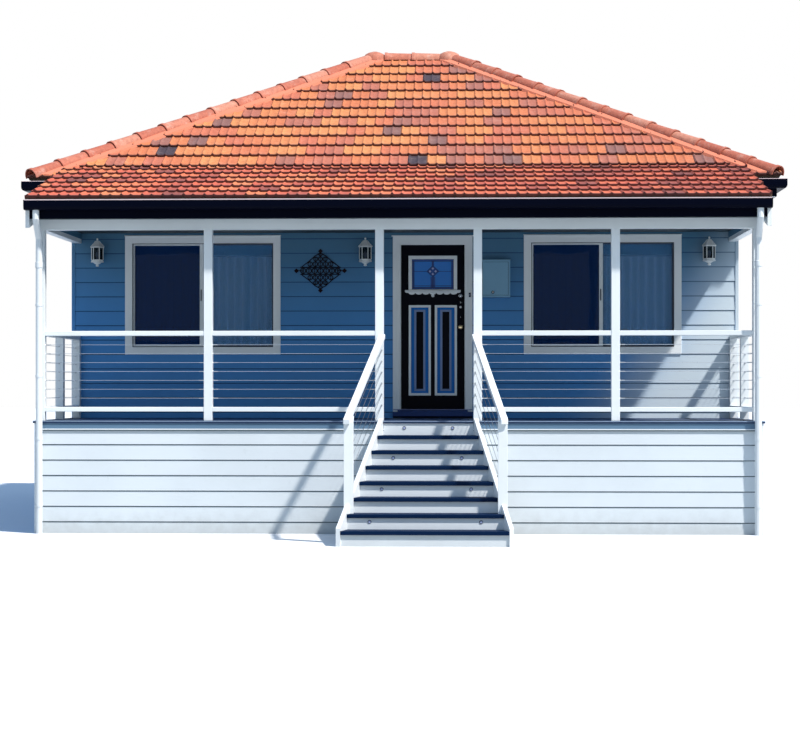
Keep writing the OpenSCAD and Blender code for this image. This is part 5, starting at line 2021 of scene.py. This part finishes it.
@dataclass
class Gutters:
    """Lips, straps and joints of the gutters, the lips pale as a painted highlight, and sockets and
    clips of the downpipes.
    """

    bead: float = 0.0065
    strap: float = 0.9
    strap_half: float = 0.011
    strap_reach: float = 0.10
    clips: tuple[float, ...] = (0.30, 1.05, 1.75, 2.55)
    socket: float = 2.98

    def build(self) -> None:
        """Fits both gutters and every pipe."""
        # The lips are pale as a painted highlight.
        form = Form("gutter_fittings", "lip_highlight", "gutter_paint", "pipe_paint")
        low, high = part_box("front_gutter")
        self.line(form, (low.x + 0.01, high.x - 0.01), low.y + 0.002, high.z - 0.002, -1)
        low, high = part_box("main_gutter")
        self.line(form, (low.x + 0.01, high.x - 0.01), high.y - self.bead, high.z, 1)
        z = high.z
        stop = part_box("verandah_roof")[1].x + 0.02
        for side in (-1, 1):
            form.bars([[(side * x, z) for x in (stop, high.x - 0.01)]], low.y + self.bead,
                      self.bead, 8)
        count = round((high.y - low.y) / self.strap)
        for x, side in ((low.x + self.bead, 1), (high.x - self.bead, -1)):
            form.rod([(x, low.y + 0.01, z), (x, high.y - 0.01, z)], self.bead, 8)
            for i in range(1, count):
                y = low.y + (high.y - low.y) * i / count
                form.box((x, y - self.strap_half, z - 0.002),
                         (x + side * self.strap_reach, y + self.strap_half, z + 0.001), "gutter_paint")
        self.pipes(form)
        form.piece(slot="gutter_paint", smooth=True)

    def line(self, form: Form, x: Span, y: float, z: float, side: int) -> None:
        """Runs a lip with a painted highlight along a gutter, with a strap over it every so often.

        Args:
            form: The piece.
            x: Start and end of the gutter.
            y: The lip's middle.
            z: Its height.
            side: -1 at the front and 1 at the back.
        """
        form.bars([[(end, z) for end in x]], y, self.bead, 8)
        count = round((x[1] - x[0]) / self.strap)
        for i in range(1, count):
            at = x[0] + (x[1] - x[0]) * i / count
            form.box((at - self.strap_half, y, z - 0.004),
                     (at + self.strap_half, y - side * self.strap_reach, z - 0.001), "gutter_paint")

    def pipes(self, form: Form) -> None:
        """Clips each pipe to its post and sleeves its joint.

        Args:
            form: The piece.
        """
        for low, high in solids("downpipes"):
            r = (high.x - low.x) / 2
            clip = ((r, 0), (r + 0.0035, 0), (r + 0.0035, 0.028), (r, 0.028))
            sleeve = ((r, 0), (r + 0.005, 0.002), (r + 0.005, 0.06), (r, 0.064))
            for z, profile in (*((z, clip) for z in self.clips), (self.socket, sleeve)):
                form.seat((low.x + high.x) / 2, high.y - r, z)
                form.turned(profile, 24, "pipe_paint")


@dataclass
class Railings:
    """Swaged ends and nuts of the wires, and the ring lights beside the steps."""

    nut: Span = (0.0095, 0.007)
    swage: float = 0.0052
    reach: float = 0.055
    wire: float = 0.003

    def end(self, form: Form, start: Vector, along: Vector) -> None:
        """Adds the nut and the swaged sleeve at one end of a wire.

        Args:
            form: The piece.
            start: The wire's end.
            along: Its direction from there.
        """
        radius, length = self.nut
        form.rod([start, start + along * length], radius, 6)
        places = (length, 2 * length, self.reach, self.reach + 0.008)
        form.rod([start + along * place for place in places],
                 [0.0068, self.swage, self.swage, self.wire], 8)

    def wires(self) -> None:
        """Fits every wire's ends."""
        form = Form("wire_fittings", "wire_steel")
        for low, high in solids("front_wires") + solids("side_wires"):
            axis = "x" if high.x - low.x > high.y - low.y else "y"
            for side in (-1, 1):
                start, along = (low + high) / 2, Vector((0, 0, 0))
                setattr(start, axis, getattr(low if side < 0 else high, axis))
                setattr(along, axis, -side)
                self.end(form, start, along)
        low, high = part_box("stair_wires_set")
        r = self.wire
        for a, b in solids("stair_wires_set"):
            inner, outer = a.x + r, b.x - r
            if a.x + b.x < low.x + high.x:
                inner, outer = outer, inner
            top, foot = Vector((inner, b.y, b.z - r)), Vector((outer, a.y, a.z + r))
            along = (foot - top).normalized()
            self.end(form, top, along)
            self.end(form, foot, -along)
        form.piece(smooth=True)

    def lights(self) -> None:
        """Fits the ring lights on the risers."""
        form = Form("step_ring_lights", "track_metal", "bead_glass")
        for low, high in solids("step_lights"):
            r = (high.x - low.x) / 2
            at = ((low.x + high.x) / 2, high.y, (low.z + high.z) / 2)
            form.stud(at, ((r, 0.0), (r, 0.003), (r - 0.002, 0.0055), (r - 0.005, 0.006),
                           (r - 0.006, 0.003)), 24)
            form.stud(at, ((r - 0.006, 0.002), (r - 0.006, 0.0035), (0.002, 0.0045)), 20,
                      "bead_glass")
        form.piece(slot="wire_steel", replaces=["step_lights"])

    def build(self) -> None:
        """Fits the wires and the lights."""
        self.wires()
        self.lights()


@dataclass
class Verandah:
    """Boards of the deck, the lining over it, the inside of the side beams and the soffit."""

    board: float = 0.094
    gap: float = 0.004
    nose: float = 0.110
    nose_round: float = 0.006
    joists: int = 6
    joist: float = 0.04
    beam_strip: float = 0.050
    lining_board: float = 0.14
    sheet: float = 1.2
    strip_half: float = 0.02

    def deck(self) -> None:
        """Lays the deck board by board, with a rounded board along its front whose rounded top edge is
        pale as a painted highlight.
        """
        low, high = solids("verandah_deck")[0]
        form = Form("deck_boards", "deck_paint", "nosing_edge")
        under = low.z + 0.009
        count = round((high.x - low.x) / self.board)
        step = (high.x - low.x) / count
        front = low.y + self.nose
        for i in range(count):
            form.box((low.x + i * step + self.gap / 2, front + self.gap, under),
                     (low.x + (i + 1) * step - self.gap / 2, high.y, high.z))
        form.box((low.x, low.y + 0.004, low.z), (high.x, front, high.z - 0.001))
        # The rounded top edge is pale as a painted highlight.
        r = self.nose_round
        edge = [(x, high.z - r) for x in (low.x + 0.001, high.x - 0.001)]
        form.bars([edge], low.y + r, r, 10, "nosing_edge")
        for i in range(self.joists):
            y = front + (high.y - front - self.joist) * i / (self.joists - 1)
            form.box((low.x + 0.05, y, low.z), (high.x - 0.05, y + self.joist, under))
        form.piece(replaces=["verandah_deck"], bevel=0.0015)

    def beams(self) -> None:
        """Lines the inner face of both side beams down to a bare strip along its edge."""
        form = Form("side_beam_boards", "wall_paint")
        for low, high in solids("side_beams"):
            inner, side = (high.x, 1) if high.x < 0 else (low.x, -1)
            form.box((inner, low.y + 0.002, low.z + self.beam_strip),
                     (inner + side * 0.006, high.y - 0.016, high.z))
        form.piece()

    def strips(self) -> None:
        """Marks the board joints of the lining and covers the joints of the soffit's sheets."""
        form = Form("lining_joints", "gap_shadow", "trim_paint")
        beam_low, beam_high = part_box("side_beams")
        low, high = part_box("verandah_lining")
        y, half = low.y + self.lining_board, beam_high.x - 0.11
        while y < Wall.FRONT.foot.y - 0.03:
            if y > beam_low.y:
                form.box((-half, y, low.z - 0.0012), (half, y + 0.004, low.z + 0.001))
            y += self.lining_board
        soffit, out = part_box("eaves_soffit")
        for wall in (Wall.LEFT, Wall.RIGHT, Wall.BACK):
            form.at = wall.matrix
            reach = wall.foot.y - out.y if wall is Wall.BACK else abs(wall.foot.x) - out.x
            count = round(2 * wall.half / self.sheet)
            for i in range(count):
                x = -wall.half + 2 * wall.half * (i + 0.5) / count
                form.box((x - self.strip_half, reach + 0.03, soffit.z - 0.006),
                         (x + self.strip_half, -0.015, soffit.z), "trim_paint")
        form.piece(slot="trim_paint")

    def build(self) -> None:
        """Boards the verandah and strips its ceilings."""
        self.deck()
        self.beams()
        self.strips()


@dataclass
class Studio:
    """A pale floor, soft light and the camera."""

    picture: tuple[int, int] = (800, 737)
    lens_px: float = 2004.0
    sensor: float = 36.0
    eye: Triple = (0.85, -24.5, 1.654)
    yaw: float = 2.078
    horizon_px: float = 386.0
    floor_reach: float = 120.0
    floor_z: float = -0.001
    sun_turn: float = 54.0
    sun_height: float = 53.0
    sun_softness: float = 2.5
    sun_tone: Colour = (1.0, 0.955, 0.90)
    bounce: Colour = (0.36, 0.39, 0.40)
    backdrop: Colour = rgb(0xE4E6E8)
    key_strength: float = 5.2
    sky_strength: float = 0.74
    low_sky: Colour = (0.50, 0.56, 0.55)
    high_sky: Colour = (0.36, 0.60, 1.0)
    sky_band: Span = (0.10, 0.60)

    def camera(self) -> None:
        """Sets the camera level, as far off as the photograph was taken."""
        width, height = self.picture
        data = bpy.data.cameras.new("camera")
        data.sensor_width = self.sensor
        data.lens = self.lens_px / width * self.sensor
        data.shift_y = (self.horizon_px - height / 2) / width
        data.clip_end = 4 * self.floor_reach
        camera = bpy.data.objects.new("camera", data)
        x, y, z = self.eye
        camera.location = (x, Wall.FRONT.foot.y + y, z)
        camera.rotation_euler = (math.radians(90), 0, math.radians(self.yaw))
        bpy.context.scene.collection.objects.link(camera)
        bpy.context.scene.camera = camera

    def floor(self) -> None:
        """Lays the floor, which the camera sees as part of a white backdrop."""
        mesh = bpy.data.meshes.new("studio_floor")
        r = self.floor_reach
        corners = [(x, y, self.floor_z) for x, y in rectangle((-r, r, -r, r))]
        mesh.from_pydata(corners, [], [(0, 1, 2, 3)])
        skin = Skin("studio floor")
        seen, mirrored, passed = (skin.ray(kind) for kind in ("Camera", "Glossy", "Transmission"))
        pale = seen.maths("MAXIMUM", seen.maths("MAXIMUM", seen, mirrored), passed)
        tone = skin.blend(pale, self.bounce, self.backdrop)
        mesh.materials.append(skin.close(skin.coat(Base_Color=tone, Roughness=0.9)))
        floor = bpy.data.objects.new("studio_floor", mesh)
        bpy.context.scene.collection.objects.link(floor)

    def light(self) -> None:
        """Lights the house with a soft sky and one soft key from the front right."""
        world = bpy.data.worlds.new("studio")
        world.use_nodes = True
        bpy.context.scene.world = world
        sky = Graph(world.node_tree)
        path = sky.ray("Camera")
        height = sky.part(sky.add("ShaderNodeTexCoord", output="Generated"), "Z")
        tone = sky.blend(sky.band(height, *self.sky_band), self.low_sky, self.high_sky)
        fill, back = (sky.add("ShaderNodeBackground", None, {"Color": colour, "Strength": strength})
                      for colour, strength in ((tone, self.sky_strength), ((1, 1, 1, 1), 1.0)))
        sky.add("ShaderNodeOutputWorld", None, {"Surface": sky.mix(path, fill, back)})
        lamp = bpy.data.lights.new("key", "SUN")
        lamp.energy = self.key_strength
        lamp.color = self.sun_tone
        lamp.angle = math.radians(self.sun_softness)
        key = bpy.data.objects.new("key", lamp)
        key.rotation_euler = (math.radians(90 - self.sun_height), 0, math.radians(self.sun_turn))
        bpy.context.scene.collection.objects.link(key)

    def build(self) -> None:
        """Makes the camera, the floor and the light."""
        self.camera()
        self.floor()
        self.light()
        bpy.context.scene.view_settings.view_transform = "Standard"


DRESSINGS = (
    Dressing("base_paint", tuple(f"base_{side}_wall" for side in ("front", "left", "right", "back"))),
    Dressing("wall_paint", ("front_wall_left", "front_wall_right", "front_wall_over_door",
                            "left_wall", "right_wall", "back_wall", "verandah_side_panels")),
    Dressing("floor_boards", ("house_floor",)),
    Dressing("ceiling_paint", ("ceiling",)),
    Dressing("batten", ("main_roof", "verandah_roof")),
    Dressing("cap_tile", ("hip_and_ridge_caps",)),
    Dressing("gutter_paint", ("main_gutter", "front_gutter")),
    Dressing("gutter_paint", ("fascia", "front_fascia"), 0.002),
    Dressing("pipe_paint", ("downpipes",)),
    Dressing("deck_paint", ("verandah_deck",), 0.003),
    # Painted shade on the verandah's lining.
    Dressing("lining_shade", ("verandah_lining",)),
    Dressing("trim_paint", ("eaves_soffit",)),
    Dressing("trim_paint", ("barge_boards", "stringers", "window_casings", "door_frame",
                            "door_casing", "door_mouldings"), 0.003),
    Dressing("trim_paint", ("front_beam", "side_beams", "posts"), 0.004),
    Dressing("trim_paint", ("rails", "newels"), 0.005),
    Dressing("trim_paint", ("handrails",), 0.006),
    Dressing("wire_steel", ("front_wires", "side_wires", "stair_wires_set", "step_lights",
                            "door_hinges")),
    Dressing("step_paint", ("stair_treads",), 0.006),
    Dressing("riser_paint", ("stair_risers",)),
    Dressing("window_metal", ("window_frames", "window_sashes"), 0.002),
    Dressing("window_glass", ("window_glass",)),
    Dressing("curtain_cloth", ("curtains",)),
    Dressing("sill_paint", ("door_sill",), 0.004),
    Dressing("door_paint", ("front_door",), 0.002),
    Dressing("light_glass", ("door_glass",)),
    Dressing("knob_brass", ("door_knobs",)),
    Dressing("lantern_paint", ("lanterns",), 0.002),
    Dressing("iron", ("wall_ornament",)),
    Dressing("cabinet_paint", ("meter_box", "meter_box_door"), 0.002),
)
ASSEMBLIES = (Cladding, Roof, Windows, FrontDoor, Lanterns, Ornament, Cupboard, Gutters, Railings,
              Verandah, Studio)


def main() -> None:
    """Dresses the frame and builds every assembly."""
    logging.basicConfig(level=logging.INFO, format="%(name)s: %(message)s")
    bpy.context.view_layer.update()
    for dressing in DRESSINGS:
        dressing.dress()
    for assembly in ASSEMBLIES:
        assembly().build()


if __name__ == "__main__":
    main()
